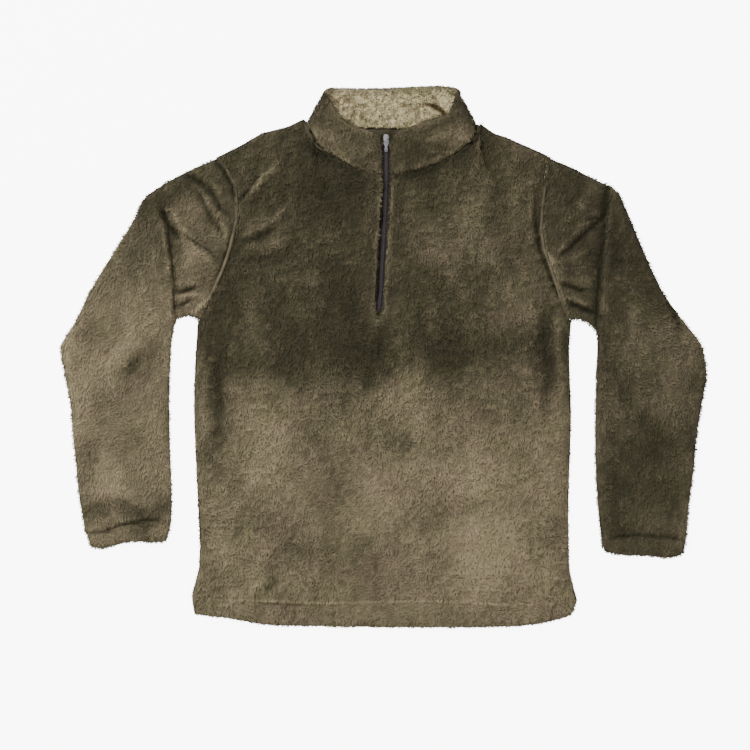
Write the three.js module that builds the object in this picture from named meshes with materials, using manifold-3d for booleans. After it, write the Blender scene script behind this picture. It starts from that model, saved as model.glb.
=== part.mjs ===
// A quarter-zip pullover of sherpa fleece, laid flat on its back with its sleeves folded down.
// Millimetres, +X to the right in a view from above, +Y to the collar, +Z up. Left and right in names
// are as seen from above. The origin is on the table, below the middle of the garment's box.
import * as THREE from "three";
import { mergeVertices } from "three/addons/utils/BufferGeometryUtils.js";
import Module from "manifold-3d";

const wasm = await Module();
wasm.setup();

// Driving dimensions
const WALL = 7; // fleece with its pile
const SEAM_GAP = 0.3; // between pieces that are sewn together
const EDGE_INSET = 7; // how far in from an edge the cloth reaches its full thickness
const EDGE_SHARE = 0.42; // thickness left at the very edge of a panel
const NEXT_SHARE = 0.93; // and one inset further in
const UNDERCUT = 0.8; // share of the wall's loss at an edge that is taken from below
const HEM_DEPTH = 30; // turned hem, edge to stitching
const CUFF_DEPTH = 26; // turned cuff, edge to stitching
const TURNED_EXTRA = 1.6; // added thickness where the cloth is turned under
const STITCH_DIP = 2.2; // groove along the stitching
const SLEEVE_SLIT = 1; // air between the two layers inside a sleeve
const SLEEVE_CROWN = 1.8; // how much higher a sleeve lies along its middle
const SLEEVE_EDGE_SHARE = 0.92; // height left beside a sleeve's rounded edge
const SLEEVE_MOUTH_SHARE = 0.62; // height left at the armhole and at the cuff's edge
const SLEEVE_NEXT_SHARE = 0.95; // and one inset in from the armhole
const PLEAT_RISE = 8; // step where the folded-down sleeve lies on its own top
const PLEAT_TUCK = 2.5; // how far the cap is pressed down beside that step
const PLEAT_FADE = 60; // length over which the sleeve settles again
const PLEAT_OUTER_SHARE = 0.25; // what is left of the step at the sleeve's outer edge
const ZIP_LIFT_NEAR = 28; // from the zip's line, the front lies fully over the tape within this
const ZIP_LIFT_FAR = 54; // and flat again beyond this
const ZIP_LIFT_START = -10; // y where the front begins to rise over the tape's end
const ZIP_LIFT_FULL = 28; // y where it lies fully over it
const NECK_LIFT = 4.2; // rise of the front at the collar's seam
const NECK_LIFT_NEAR = 8;
const NECK_LIFT_FAR = 46;
const BAND_WALL = 5.6; // outer cloth of the collar
const LINING_WALL = 3.5; // light cloth inside the collar
const BAND_EXTRA = 0.8; // from the collar's middle surface to the outside of its lining or its cloth
const BAND_SWELL = 0.6; // how much fuller the collar is at half its height
const LINING_CLEAR = 0.45; // between the collar's middle surface and each of its layers
const LINING_CLEAR_AT_ZIP = 0.8;
const LINING_DROP = 2.6; // the lining ends this far below the collar's top line
const ROLL_REACH = 5; // how far the collar's rolled edge stands past its top line
const ROLL_LIP = 1.2; // how far that edge laps down over the lining
const COLLAR_SPAN = 3; // sections to each row of the collar's table
const ZIP_SLOT = 11; // width between the two cloth edges at the zip
const TAPE_WIDTH = 14; // one side of the zip, from the middle line outwards
const TAPE_THICKNESS = 1;
const TAPE_CLEARANCE = 1.6; // from the tape to the cloth over it, with room for the coil
const COIL_WIDTH = 2.8;
const COIL_HEIGHT = 2.2;
const BACK_TOP = WALL;
const FRONT_BOTTOM = BACK_TOP + SEAM_GAP;
const FRONT_FOLD_SHARE = 0.5; // a fold lifts the front's top and its underside by this share each

// Slider and pull tab
const SLIDER_WIDTH = 8;
const SLIDER_LENGTH = 11;
const SLIDER_PLATE = 1.2;
const SLIDER_CENTRE_Y = 321;
const FLANGE_WIDTH = 0.8; // the plate's edges turned down beside the coil
const FLANGE_SHARE = 0.6; // of the coil's height over the tape
const ARCH_WIDTH = 2; // the bridge that holds the pull tab
const ARCH_LENGTH = 7;
const ARCH_HEIGHT = 3;
const ARCH_BAR = 1;
const PIVOT_HEIGHT = 1; // above the slider's plate
const PULL_LENGTH = 17;
const PULL_WIDTH = 5.6;
const PULL_TAPER = 0.86; // width at the free end
const PULL_THICKNESS = 1.2;
const EYE_WIDTH = 3.2;
const EYE_LENGTH = 4.4;
const COIL_TOP_GAP = 0.3;
const MELD = 0.2; // overlap of pieces of the slider that are cast as one

const fleece = new THREE.MeshStandardMaterial({ color: 0x5a5440, roughness: 0.95, metalness: 0 });
const lightFleece = new THREE.MeshStandardMaterial({ color: 0xb9ab86, roughness: 0.95, metalness: 0 });
const zipTape = new THREE.MeshStandardMaterial({ color: 0x3e3436, roughness: 0.8, metalness: 0 });
const silver = new THREE.MeshStandardMaterial({ color: 0xb8b8bc, roughness: 0.3, metalness: 1 });

// Outlines, each a short table of x, y through which a smooth curve runs
const HEM = [
  [-283, -386], [-262, -390], [-233, -392], [-181, -402], [-74, -405], [74, -406.5],
  [214, -403.5], [256, -396], [281, -388],
];
const SIDE_LEFT = [
  [-283, -386], [-287, -366], [-285, -349], [-279, -332], [-275, -295], [-278, -222],
  [-283, -111], [-284, -61], [-281, 10], [-278, 51],
];
const SIDE_RIGHT = [
  [281, -388], [290, -369], [285, -349], [280, -331], [277, -261], [278, -187],
  [281, -88], [278, 14], [281, 51],
];
const ARMHOLE_LEFT = [
  [-278, 51], [-268, 72], [-254, 92], [-241, 128], [-223, 180], [-219, 218], [-221, 252],
  [-230, 274], [-249, 298],
];
const ARMHOLE_RIGHT = [
  [281, 51], [266, 84], [253, 123], [241, 156], [235, 186], [237, 219], [241, 264], [246, 300],
];
const SHOULDER_LEFT = [
  [-249, 298], [-215, 314.5], [-193, 330], [-170, 337], [-151, 341], [-128, 354], [-118, 357.5],
];
const SHOULDER_RIGHT = [
  [143.5, 350], [155, 341], [166, 334.5], [187, 326], [216, 313.5], [246, 300],
];
const NECK_FRONT = [
  [-118, 357.5], [-117.6, 341], [-99, 311], [-60, 291], [-32, 277], [4, 273.5], [40, 275],
  [77, 286.5], [103, 298], [129, 316], [143, 334], [143.5, 350],
];
const NECK_BACK = [
  [-118, 357.5], [-116, 350], [-104, 350.5], [-58, 343], [4, 339], [70, 342], [122, 349], [143.5, 350],
];

const SLEEVE_LEFT = {
  armhole: ARMHOLE_LEFT,
  outerCap: [[-249, 298], [-263, 294], [-276, 286], [-293, 280], [-326, 262.5], [-356, 243]],
  outerArm: [
    [-356, 243], [-367, 228], [-376, 203], [-400, 166.5], [-428, 123], [-452, 81], [-465, 51],
    [-484, 30], [-489.7, 8], [-485, -15], [-473, -48], [-470, -102], [-464, -156], [-458, -216],
    [-449, -261], [-441, -284],
  ],
  innerCap: [[-278, 51], [-288, 57.5], [-299, 58], [-309, 53]],
  innerArm: [
    [-309, 53], [-314, 38], [-317, -8], [-318, -60], [-317, -126], [-314, -223], [-316, -254],
    [-322, -276],
  ],
  pleat: [
    [-309, 53], [-315, 93], [-317, 135], [-319.5, 171], [-323, 196], [-331, 218], [-343, 232],
    [-356, 243],
  ],
  cuff: [
    [-322, -276], [-332, -279], [-374, -277.5], [-394, -280.5], [-416, -287], [-431, -290],
    [-441, -284],
  ],
};
const SLEEVE_RIGHT = {
  armhole: ARMHOLE_RIGHT,
  outerCap: [[246, 300], [262, 293], [280, 286.5], [304, 273], [330, 261], [345, 254]],
  outerArm: [
    [345, 254], [357, 241], [370, 208], [386, 172.5], [418, 100.5], [442, 65], [474, 29],
    [489.7, -6], [481, -61], [472, -114], [466, -187], [458, -230], [455.5, -277], [451, -295],
  ],
  innerCap: [[281, 51], [293, 53], [305, 48], [315, 38]],
  innerArm: [[315, 38], [320, 22], [317, -25], [314, -126], [317, -205], [322, -259], [325, -284]],
  pleat: [[315, 38], [322, 84], [326, 126], [329, 166], [331, 202], [335, 229], [345, 254]],
  cuff: [[325, -284], [332, -293.5], [351, -298], [388, -299], [440, -302], [451, -295]],
};

// Folds in the cloth, each a straight soft ridge or trough from x1, y1 to x2, y2
const FOLD = (x1, y1, x2, y2, height, width) => ({ x1, y1, x2, y2, height, width });
const FRONT_FOLDS = [
  FOLD(143, 345, 150, 300, -3, 9),
  FOLD(150, 300, 158, 262, -2, 9),
  FOLD(166, 335, 176, 270, 2.5, 12),
  FOLD(-218, 224, -184, 272, 2.5, 11),
  FOLD(-250, 118, -238, 60, -2.5, 10),
  FOLD(262, 100, 250, 20, -2, 12),
  FOLD(-262, -40, -258, -290, 2, 16),
  FOLD(262, -60, 258, -280, 2, 16),
];
const LEFT_FOLDS = [
  FOLD(-297, 274, -242, 226, -3, 9),
  FOLD(-300, 252, -254, 200, 3, 10),
  FOLD(-318, 222, -273, 166, -3, 9),
  FOLD(-300, 160, -262, 140, 2, 12),
  FOLD(-314, 93, -272, 103, -3, 8),
  FOLD(-468, 48, -469, -50, 3, 12),
  FOLD(-443, -3, -365, 46, 3, 16),
  FOLD(-403, -43, -345, 9, -2.5, 14),
  FOLD(-360, -150, -372, -236, -2, 14),
];
const RIGHT_FOLDS = [
  FOLD(338, 219, 250, 148, -3, 10),
  FOLD(330, 246, 258, 186, 2.5, 11),
  FOLD(264, 106, 308, 96, -3, 8),
  FOLD(278, 82, 312, 70, -3, 8),
  FOLD(418, 100, 444, 38, -3.5, 10),
  FOLD(446, 80, 470, 20, 3, 12),
  FOLD(340, -30, 392, -96, -2.5, 14),
  FOLD(410, -120, 440, -210, -2, 14),
];

// The stand collar's middle surface, from the zip round the back to the zip again
const RING = (baseX, baseY, baseZ, rimX, rimY, rimZ) => ({
  base: new THREE.Vector3(baseX, baseY, baseZ),
  rim: new THREE.Vector3(rimX, rimY, rimZ),
});
const COLLAR_RING = [
  RING(-1.5, 274.8, 13.7, -3, 326.5, 22),
  RING(-32, 278.3, 14, -32, 337, 24),
  RING(-60, 292.2, 14.6, -54, 345, 25.5),
  RING(-94, 313.6, 17, -71, 360, 26),
  RING(-106, 331.5, 18.5, -79, 376, 24.5),
  RING(-110.5, 345, 12.8, -86.5, 388.5, 16),
  RING(-102, 352.5, 7.2, -78, 398, 7.6),
  RING(-58, 344, 6.6, -45, 397.5, 6.6),
  RING(4, 340, 6.6, 6, 398.2, 6.6),
  RING(70, 343, 6.6, 62, 401, 6.6),
  RING(126, 351, 7.2, 101, 399.5, 7.6),
  RING(135.5, 343.5, 12.8, 110.5, 390, 15.5),
  RING(133, 327.5, 18.5, 106, 375, 24.5),
  RING(122, 313.6, 17, 99, 361, 26),
  RING(77, 287.7, 14.6, 62, 347, 25.5),
  RING(40, 276.3, 14, 36, 337, 24),
  RING(9.7, 274.8, 13.7, 10.6, 326.5, 22),
];

// The zip's middle line, and the height of the tape's underside along it
const ZIP_LINE = [
  [-9.5, 54, 7.3], [-7, 70, 7.3], [-4, 102, 7.3], [-2, 144, 7.3], [1.5, 201, 7.3],
  [3.4, 240, 8.4], [4.2, 273, 12.9], [4.1, 300, 17.4], [3.8, 324, 21.1],
];
const ZIP_SLOT_END = 62; // y of the slit's lower end

// Curves

const smooth = (edge0, edge1, x) => THREE.MathUtils.smoothstep(x, edge0, edge1);

function curveOf(table) {
  const points = table.map(([x, y, z = 0]) => new THREE.Vector3(x, y, z));
  return new THREE.CatmullRomCurve3(points, false, "centripetal");
}

// Distances along a curve: the named ones near its start and end, and even steps between.
function places(length, near, far, steps) {
  const first = near[near.length - 1];
  const last = length - far[far.length - 1];
  const between = Array.from({ length: steps - 1 }, (_, i) => first + ((last - first) * (i + 1)) / steps);
  return [...near, ...between, ...far.map((d) => length - d).reverse()];
}

function pointsAlong(table, near, far, steps) {
  const curve = curveOf(table);
  const length = curve.getLength();
  return places(length, near, far, steps).map((d) => curve.getPointAt(Math.min(1, d / length)));
}

const joined = (...lists) => lists.reduce((all, list) => [...all, ...list.slice(1)]);

// A grid of plan points spanned by four edges. Rows run from start to end, columns from left to right.
function gridBetween(start, end, left, right) {
  const share = (list) => {
    const sums = [0];
    for (let i = 1; i < list.length; i++) sums.push(sums[i - 1] + list[i].distanceTo(list[i - 1]));
    return sums.map((s) => s / sums[sums.length - 1]);
  };
  const mean = (a, b) => a.map((x, i) => (x + b[i]) / 2);
  const across = mean(share(start), share(end));
  const along = mean(share(left), share(right));
  return along.map((v, row) =>
    across.map((u, column) => {
      const p = new THREE.Vector3();
      p.addScaledVector(start[column], 1 - v).addScaledVector(end[column], v);
      p.addScaledVector(left[row], 1 - u).addScaledVector(right[row], u);
      p.addScaledVector(start[0], -(1 - u) * (1 - v)).addScaledVector(end[0], -(1 - u) * v);
      p.addScaledVector(start[start.length - 1], -u * (1 - v));
      return p.addScaledVector(end[end.length - 1], -u * v);
    }),
  );
}

// Moves a plan polyline sideways, to its left as it runs.
function shifted(points, distance) {
  return points.map((p, i) => {
    const before = points[Math.max(0, i - 1)];
    const after = points[Math.min(points.length - 1, i + 1)];
    const run = after.clone().sub(before).normalize();
    return new THREE.Vector3(p.x - run.y * distance, p.y + run.x * distance, 0);
  });
}

function distanceToTable(points, x, y) {
  let best = Infinity;
  for (let i = 1; i < points.length; i++) {
    const a = points[i - 1];
    const b = points[i];
    const dx = b.x - a.x;
    const dy = b.y - a.y;
    const t = THREE.MathUtils.clamp(((x - a.x) * dx + (y - a.y) * dy) / (dx * dx + dy * dy), 0, 1);
    best = Math.min(best, Math.hypot(x - a.x - t * dx, y - a.y - t * dy));
  }
  return best;
}

function foldHeight(folds, x, y) {
  let sum = 0;
  for (const f of folds) {
    const dx = f.x2 - f.x1;
    const dy = f.y2 - f.y1;
    const t = ((x - f.x1) * dx + (y - f.y1) * dy) / (dx * dx + dy * dy);
    const nearest = THREE.MathUtils.clamp(t, 0, 1);
    const d = Math.hypot(x - f.x1 - nearest * dx, y - f.y1 - nearest * dy);
    sum += f.height * Math.exp(-((d / f.width) ** 2)) * (0.55 + 0.45 * Math.sin(Math.PI * nearest));
  }
  return sum;
}

// Meshes from grids and rings

function closedMesh(name, material, positions, triangles) {
  const geometry = new THREE.BufferGeometry();
  geometry.setAttribute("position", new THREE.Float32BufferAttribute(positions, 3));
  geometry.setIndex(triangles);
  geometry.computeVertexNormals();
  const mesh = new THREE.Mesh(geometry, material);
  mesh.name = name;
  return mesh;
}

// A panel between an upper and a lower surface over the same plan grid.
function panelMesh(name, material, grid, topZ, bottomZ) {
  const rows = grid.length;
  const columns = grid[0].length;
  const positions = [];
  for (const surface of [topZ, bottomZ])
    grid.forEach((line, row) =>
      line.forEach((p, column) => positions.push(p.x, p.y, surface(p.x, p.y, row, column))),
    );
  const top = (row, column) => row * columns + column;
  const under = (row, column) => rows * columns + top(row, column);
  const triangles = [];
  const quad = (a, b, c, d) => triangles.push(a, b, c, a, c, d);
  for (let r = 0; r < rows - 1; r++)
    for (let c = 0; c < columns - 1; c++) {
      quad(top(r, c), top(r, c + 1), top(r + 1, c + 1), top(r + 1, c));
      quad(under(r, c), under(r + 1, c), under(r + 1, c + 1), under(r, c + 1));
    }
  for (let c = 0; c < columns - 1; c++) {
    quad(under(0, c), under(0, c + 1), top(0, c + 1), top(0, c));
    quad(under(rows - 1, c + 1), under(rows - 1, c), top(rows - 1, c), top(rows - 1, c + 1));
  }
  for (let r = 0; r < rows - 1; r++) {
    quad(under(r + 1, 0), under(r, 0), top(r, 0), top(r + 1, 0));
    quad(under(r, columns - 1), under(r + 1, columns - 1), top(r + 1, columns - 1), top(r, columns - 1));
  }
  return closedMesh(name, material, positions, triangles);
}

// A wall through rings: each station has an outer ring and an inner ring of equal count.
function tubeMesh(name, material, outer, inner) {
  const count = outer[0].length;
  const positions = [...outer, ...inner].flat().flatMap((p) => [p.x, p.y, p.z]);
  const at = (ring, i) => ring * count + (i % count);
  const triangles = [];
  const quad = (a, b, c, d) => triangles.push(a, b, c, a, c, d);
  const last = outer.length - 1;
  for (let i = 0; i < count; i++) {
    for (let r = 0; r < last; r++) {
      quad(at(r, i), at(r, i + 1), at(r + 1, i + 1), at(r + 1, i));
      quad(at(r + last + 1, i + 1), at(r + last + 1, i), at(r + last + 2, i), at(r + last + 2, i + 1));
    }
    quad(at(0, i + 1), at(0, i), at(last + 1, i), at(last + 1, i + 1));
    quad(at(last, i), at(last, i + 1), at(2 * last + 1, i + 1), at(2 * last + 1, i));
  }
  return closedMesh(name, material, positions, triangles);
}

// A solid bar through closed sections of equal count, capped at both ends.
function barMesh(name, material, sections, sectionShape) {
  const count = sections[0].length;
  const positions = sections.flat().flatMap((p) => [p.x, p.y, p.z]);
  const triangles = [];
  for (let s = 0; s < sections.length - 1; s++)
    for (let i = 0; i < count; i++) {
      const j = (i + 1) % count;
      const [a, b, c, d] = [s * count + i, s * count + j, (s + 1) * count + j, (s + 1) * count + i];
      triangles.push(a, b, c, a, c, d);
    }
  const last = (sections.length - 1) * count;
  const turn = Math.sign(THREE.ShapeUtils.area(sectionShape));
  for (const face of THREE.ShapeUtils.triangulateShape(sectionShape, [])) {
    const faceTurn = Math.sign(THREE.ShapeUtils.area(face.map((i) => sectionShape[i])));
    const [i, j, k] = faceTurn === turn ? face : [...face].reverse();
    triangles.push(i, k, j);
    triangles.push(last + i, last + j, last + k);
  }
  return closedMesh(name, material, positions, triangles);
}

// Booleans

function solidFrom(geometry) {
  const bare = geometry.clone();
  bare.deleteAttribute("normal");
  bare.deleteAttribute("uv");
  const merged = mergeVertices(bare, 1e-4);
  return new wasm.Manifold(
    new wasm.Mesh({
      numProp: 3,
      vertProperties: merged.attributes.position.array,
      triVerts: new Uint32Array(merged.index.array),
    }),
  );
}

function meshFromSolid(name, material, solid) {
  const { vertProperties, triVerts } = solid.getMesh();
  return closedMesh(name, material, Array.from(vertProperties), Array.from(triVerts));
}

function boxAt(x, y, z, width, length, height) {
  return new THREE.BoxGeometry(width, length, height).translate(x, y, z);
}

// Zip line

const zipCurve = curveOf(ZIP_LINE);
const zipPoints = zipCurve.getSpacedPoints(80);

function zipAt(y) {
  let i = 1;
  while (i < zipPoints.length - 1 && zipPoints[i].y < y) i++;
  const [a, b] = [zipPoints[i - 1], zipPoints[i]];
  const t = THREE.MathUtils.clamp((y - a.y) / (b.y - a.y), 0, 1);
  return { x: THREE.MathUtils.lerp(a.x, b.x, t), z: THREE.MathUtils.lerp(a.z, b.z, t) };
}

// Front and back

const neckPoints = pointsAlong(NECK_FRONT, [0], [0], 40);
const hemPoints = pointsAlong(HEM, [0], [0], 40);

function turnedBand(depth, distance) {
  const band = TURNED_EXTRA * (1 - smooth(depth - 4, depth + 3, distance));
  return band - STITCH_DIP * Math.exp(-(((distance - depth) / 4) ** 2));
}

function frontLift(x, y) {
  const zip = zipAt(y);
  const besideZip = 1 - smooth(ZIP_LIFT_NEAR, ZIP_LIFT_FAR, Math.abs(x - zip.x));
  const aboveEnd = smooth(ZIP_LIFT_START, ZIP_LIFT_FULL, y);
  const overTape = (zip.z + TAPE_THICKNESS + TAPE_CLEARANCE - FRONT_BOTTOM) * besideZip * aboveEnd;
  const fromNeck = distanceToTable(neckPoints, x, y);
  const atNeck = NECK_LIFT * (1 - smooth(NECK_LIFT_NEAR, NECK_LIFT_FAR, fromNeck));
  return Math.max(overTape, atNeck);
}

function frontUnder(x, y) {
  const ridge = Math.max(0, foldHeight(FRONT_FOLDS, x, y));
  return FRONT_BOTTOM + frontLift(x, y) + FRONT_FOLD_SHARE * ridge;
}

function edgeShare(grid, row, column) {
  const stepsIn = Math.min(row, grid.length - 1 - row, column, grid[0].length - 1 - column);
  return [EDGE_SHARE, NEXT_SHARE, 1][Math.min(stepsIn, 2)];
}

function bodyGrid(neck, shoulderSteps, neckSteps) {
  const armhole = [[0, EDGE_INSET], [0, EDGE_INSET], 9];
  const side = [[0, EDGE_INSET, HEM_DEPTH - 6, HEM_DEPTH, HEM_DEPTH + 6], [0], 12];
  const left = joined(pointsAlong(SIDE_LEFT, ...side), pointsAlong(ARMHOLE_LEFT, ...armhole));
  const right = joined(pointsAlong(SIDE_RIGHT, ...side), pointsAlong(ARMHOLE_RIGHT, ...armhole));
  const end = joined(
    pointsAlong(SHOULDER_LEFT, [0, EDGE_INSET], [0], shoulderSteps),
    pointsAlong(neck, [0, EDGE_INSET], [0, EDGE_INSET], neckSteps - 2),
    pointsAlong(SHOULDER_RIGHT, [0], [0, EDGE_INSET], shoulderSteps),
  );
  const start = pointsAlong(HEM, [0, EDGE_INSET], [0, EDGE_INSET], 2 * shoulderSteps + neckSteps);
  return gridBetween(start, end, left, right);
}

function makeFront() {
  const grid = bodyGrid(NECK_FRONT, 4, 20);
  const topZ = (x, y, row, column) => {
    const fold = FRONT_FOLD_SHARE * foldHeight(FRONT_FOLDS, x, y);
    const hemBand = turnedBand(HEM_DEPTH, distanceToTable(hemPoints, x, y));
    return frontUnder(x, y) + (WALL + fold + hemBand) * edgeShare(grid, row, column);
  };
  const panel = panelMesh("front", fleece, grid, topZ, frontUnder);
  const half = ZIP_SLOT / 2;
  const slot = zipPoints.filter((p) => p.y > ZIP_SLOT_END + half);
  slot.push(new THREE.Vector3(zipAt(340).x, 340, 0));
  const outline = new THREE.Shape();
  outline.moveTo(zipAt(ZIP_SLOT_END).x, ZIP_SLOT_END);
  shifted(slot, -half).forEach((p) => outline.lineTo(p.x, p.y));
  shifted(slot, half).reverse().forEach((p) => outline.lineTo(p.x, p.y));
  outline.closePath();
  const cutter = new THREE.ExtrudeGeometry(outline, { depth: 80, bevelEnabled: false });
  return meshFromSolid("front", fleece, solidFrom(panel.geometry).subtract(solidFrom(cutter)));
}

function makeBack() {
  const grid = bodyGrid(NECK_BACK, 4, 9);
  const underZ = (x, y, row, column) => (1 - edgeShare(grid, row, column)) * WALL * UNDERCUT;
  return panelMesh("back", fleece, grid, () => BACK_TOP, underZ);
}

// Sleeves: two layers of cloth lying on each other, with a pleat where each sleeve is folded down

function makeSleeve(name, cut, folds, outward) {
  const acrossSteps = [[0, EDGE_INSET], [0, EDGE_INSET], 9];
  const armhole = shifted(pointsAlong(cut.armhole, ...acrossSteps), SEAM_GAP * outward);
  const pleat = pointsAlong(cut.pleat, ...acrossSteps);
  const cuff = pointsAlong(cut.cuff, ...acrossSteps);
  const capRows = [[0, EDGE_INSET], [0], 3];
  const armRows = [[0, 6, 18, 36], [0, EDGE_INSET, CUFF_DEPTH - 6, CUFF_DEPTH, CUFF_DEPTH + 6], 11];
  const innerCap = pointsAlong(cut.innerCap, ...capRows);
  const outerCap = pointsAlong(cut.outerCap, ...capRows);
  innerCap[0] = armhole[0];
  outerCap[0] = armhole[armhole.length - 1];
  const innerArm = pointsAlong(cut.innerArm, ...armRows);
  const outerArm = pointsAlong(cut.outerArm, ...armRows);
  const cap = gridBetween(armhole, pleat, innerCap, outerCap);
  const arm = gridBetween(pleat, cuff, innerArm, outerArm);
  const grid = [...cap, ...arm.slice(1)];
  const pleatLine = pointsAlong(cut.pleat, [0], [0], 24);
  const cuffLine = pointsAlong(cut.cuff, [0], [0], 24);
  const columns = pleat.length - 1;
  const lastRow = grid.length - 1;
  const rings = { outer: [], inner: [] };

  grid.forEach((line, row) => {
    const endShare = [SLEEVE_MOUTH_SHARE, SLEEVE_NEXT_SHARE][row] ?? (row < lastRow ? 1 : SLEEVE_MOUTH_SHARE);
    const onArm = row >= cap.length;
    const width = line[0].distanceTo(line[columns]);
    const layersAt = (column) => {
      const p = line[column];
      const fromPleat = distanceToTable(pleatLine, p.x, p.y);
      const fade = 1 - (1 - PLEAT_OUTER_SHARE) * smooth(0.6, 1, column / columns);
      const step = onArm
        ? PLEAT_RISE * smooth(0, 6, fromPleat) * (1 - smooth(10, PLEAT_FADE, fromPleat))
        : -PLEAT_TUCK * (1 - smooth(0, 16, fromPleat));
      const cuffBand = turnedBand(CUFF_DEPTH, distanceToTable(cuffLine, p.x, p.y));
      const extra = step * fade + foldHeight(folds, p.x, p.y) + cuffBand;
      const crown = SLEEVE_CROWN * Math.sin((Math.PI * column) / columns);
      const full = 2 * WALL + SLEEVE_SLIT + crown + extra;
      return { p, top: full * endShare, middle: full - WALL - SLEEVE_SLIT / 2 };
    };
    const edgeZ = WALL + SLEEVE_SLIT / 2;
    const outerTop = [];
    const outerUnder = [];
    const innerTop = [];
    const innerUnder = [];
    for (let column = 0; column <= columns; column++) {
      const { p, top, middle } = layersAt(column);
      const inside = THREE.MathUtils.lerp(WALL / width, 1 - WALL / width, column / columns);
      const q = line[0].clone().lerp(line[columns], inside);
      const bend = p.clone().sub(line[0].clone().lerp(line[columns], column / columns));
      q.add(bend.multiplyScalar(1 - WALL / width));
      const atEdge = column === 0 || column === columns;
      const nearEdge = column === 1 || column === columns - 1 ? SLEEVE_EDGE_SHARE : 1;
      const lift = Math.min(middle, top * nearEdge - WALL / 2 - SLEEVE_SLIT / 2);
      if (atEdge) {
        outerTop.push(new THREE.Vector3(p.x, p.y, edgeZ));
        innerTop.push(new THREE.Vector3(q.x, q.y, edgeZ));
      } else {
        outerTop.push(new THREE.Vector3(p.x, p.y, top * nearEdge));
        outerUnder.push(new THREE.Vector3(p.x, p.y, (1 - endShare) * WALL * UNDERCUT));
        innerTop.push(new THREE.Vector3(q.x, q.y, lift + SLEEVE_SLIT / 2));
        innerUnder.push(new THREE.Vector3(q.x, q.y, lift - SLEEVE_SLIT / 2));
      }
    }
    rings.outer.push([...outerTop, ...outerUnder.reverse()]);
    rings.inner.push([...innerTop, ...innerUnder.reverse()]);
  });
  if (outward < 0) for (const list of [rings.outer, rings.inner]) list.forEach((ring) => ring.reverse());
  return tubeMesh(name, fleece, rings.outer, rings.inner);
}

// Collar

function collarStations() {
  const base = new THREE.CatmullRomCurve3(COLLAR_RING.map((row) => row.base), false, "centripetal");
  const rim = new THREE.CatmullRomCurve3(COLLAR_RING.map((row) => row.rim), false, "centripetal");
  const count = (COLLAR_RING.length - 1) * COLLAR_SPAN;
  return Array.from({ length: count + 1 }, (_, i) => {
    const t = i / count;
    const [b, r] = [base.getPoint(t), rim.getPoint(t)];
    const rise = r.clone().sub(b);
    const flatRise = new THREE.Vector3(rise.x, rise.y, 0).normalize();
    const baseOut = base.getTangent(t).cross(flatRise).normalize();
    const rimRun = rim.getTangent(t);
    const rimOut = rimRun.clone().cross(rise.clone().normalize()).normalize();
    const up = rise.clone().addScaledVector(rimRun, -rise.dot(rimRun)).normalize();
    const clear = Math.min(i, count - i) < COLLAR_SPAN ? LINING_CLEAR_AT_ZIP : LINING_CLEAR;
    return { b, r, up, baseOut, rimOut, clear };
  });
}

// A point of the collar's section: share of the height, distance past the top line, distance outwards.
function collarPoint(station, share, past, out) {
  const direction = station.baseOut.clone().lerp(station.rimOut, share).normalize();
  const p = station.b.clone().lerp(station.r, share);
  p.addScaledVector(station.up, past).addScaledVector(direction, -out);
  return p.setZ(Math.max(p.z, 0));
}

// The section laid out flat, for the caps at the zip.
function capShape(section) {
  const height = COLLAR_RING[0].base.distanceTo(COLLAR_RING[0].rim);
  return section.map(([share, past, out]) => new THREE.Vector2(share * height + past, out));
}

function makeCollar() {
  const thick = BAND_WALL + BAND_EXTRA;
  const inner = LINING_WALL + BAND_EXTRA;
  const stations = collarStations();
  const section = (clear) => [
    [0, 0, clear], [0, 0, thick], [0.33, 0, thick + BAND_SWELL], [0.67, 0, thick + BAND_SWELL / 2],
    [1, 0, thick], [1, ROLL_REACH * 0.7, thick * 0.8], [1, ROLL_REACH, thick * 0.2],
    [1, ROLL_REACH * 0.7, -inner * 0.7], [1, ROLL_LIP / 2, -inner], [1, -ROLL_LIP, -inner * 0.86],
    [1, -ROLL_LIP, clear], [0.67, 0, clear], [0.33, 0, clear],
  ];
  const shape = capShape(section(LINING_CLEAR));
  const sections = stations.map((s) => section(s.clear).map((row) => collarPoint(s, ...row)));
  return barMesh("collar", fleece, sections, shape);
}

function makeLining() {
  const inner = LINING_WALL + BAND_EXTRA;
  const stations = collarStations();
  const section = (clear) => [
    [0, 0, -inner], [0, 0, -clear], [0.33, 0, -clear], [0.67, 0, -clear], [1, -LINING_DROP, -clear],
    [1, -LINING_DROP, -inner], [0.67, 0, -inner], [0.33, 0, -inner],
  ];
  const shape = capShape(section(LINING_CLEAR));
  const sections = stations.map((s) => section(s.clear).map((row) => collarPoint(s, ...row)));
  return barMesh("collar_lining", lightFleece, sections, shape);
}

// Zip tapes with half of the coil each

function makeTape(name, side) {
  const near = SEAM_GAP / 2;
  const section = [
    [near, 0], [TAPE_WIDTH, 0], [TAPE_WIDTH, TAPE_THICKNESS], [COIL_WIDTH, TAPE_THICKNESS],
    [COIL_WIDTH, COIL_HEIGHT * 0.8], [COIL_WIDTH * 0.6, COIL_HEIGHT], [near, COIL_HEIGHT],
  ];
  const ordered = side > 0 ? [...section].reverse() : section;
  const steps = 26;
  const sections = Array.from({ length: steps + 1 }, (_, i) => {
    const p = zipCurve.getPointAt(i / steps);
    const run = zipCurve.getTangentAt(i / steps);
    const across = new THREE.Vector3(run.y, -run.x, 0).normalize();
    const up = new THREE.Vector3().crossVectors(across, run).normalize();
    return ordered.map(([x, z]) => p.clone().addScaledVector(across, side * x).addScaledVector(up, z));
  });
  const shape = ordered.map(([x, z]) => new THREE.Vector2(side * x, z));
  return barMesh(name, zipTape, sections, shape);
}

// Slider and pull tab, drawn flat with the zip running along Y, then laid on the tape

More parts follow.
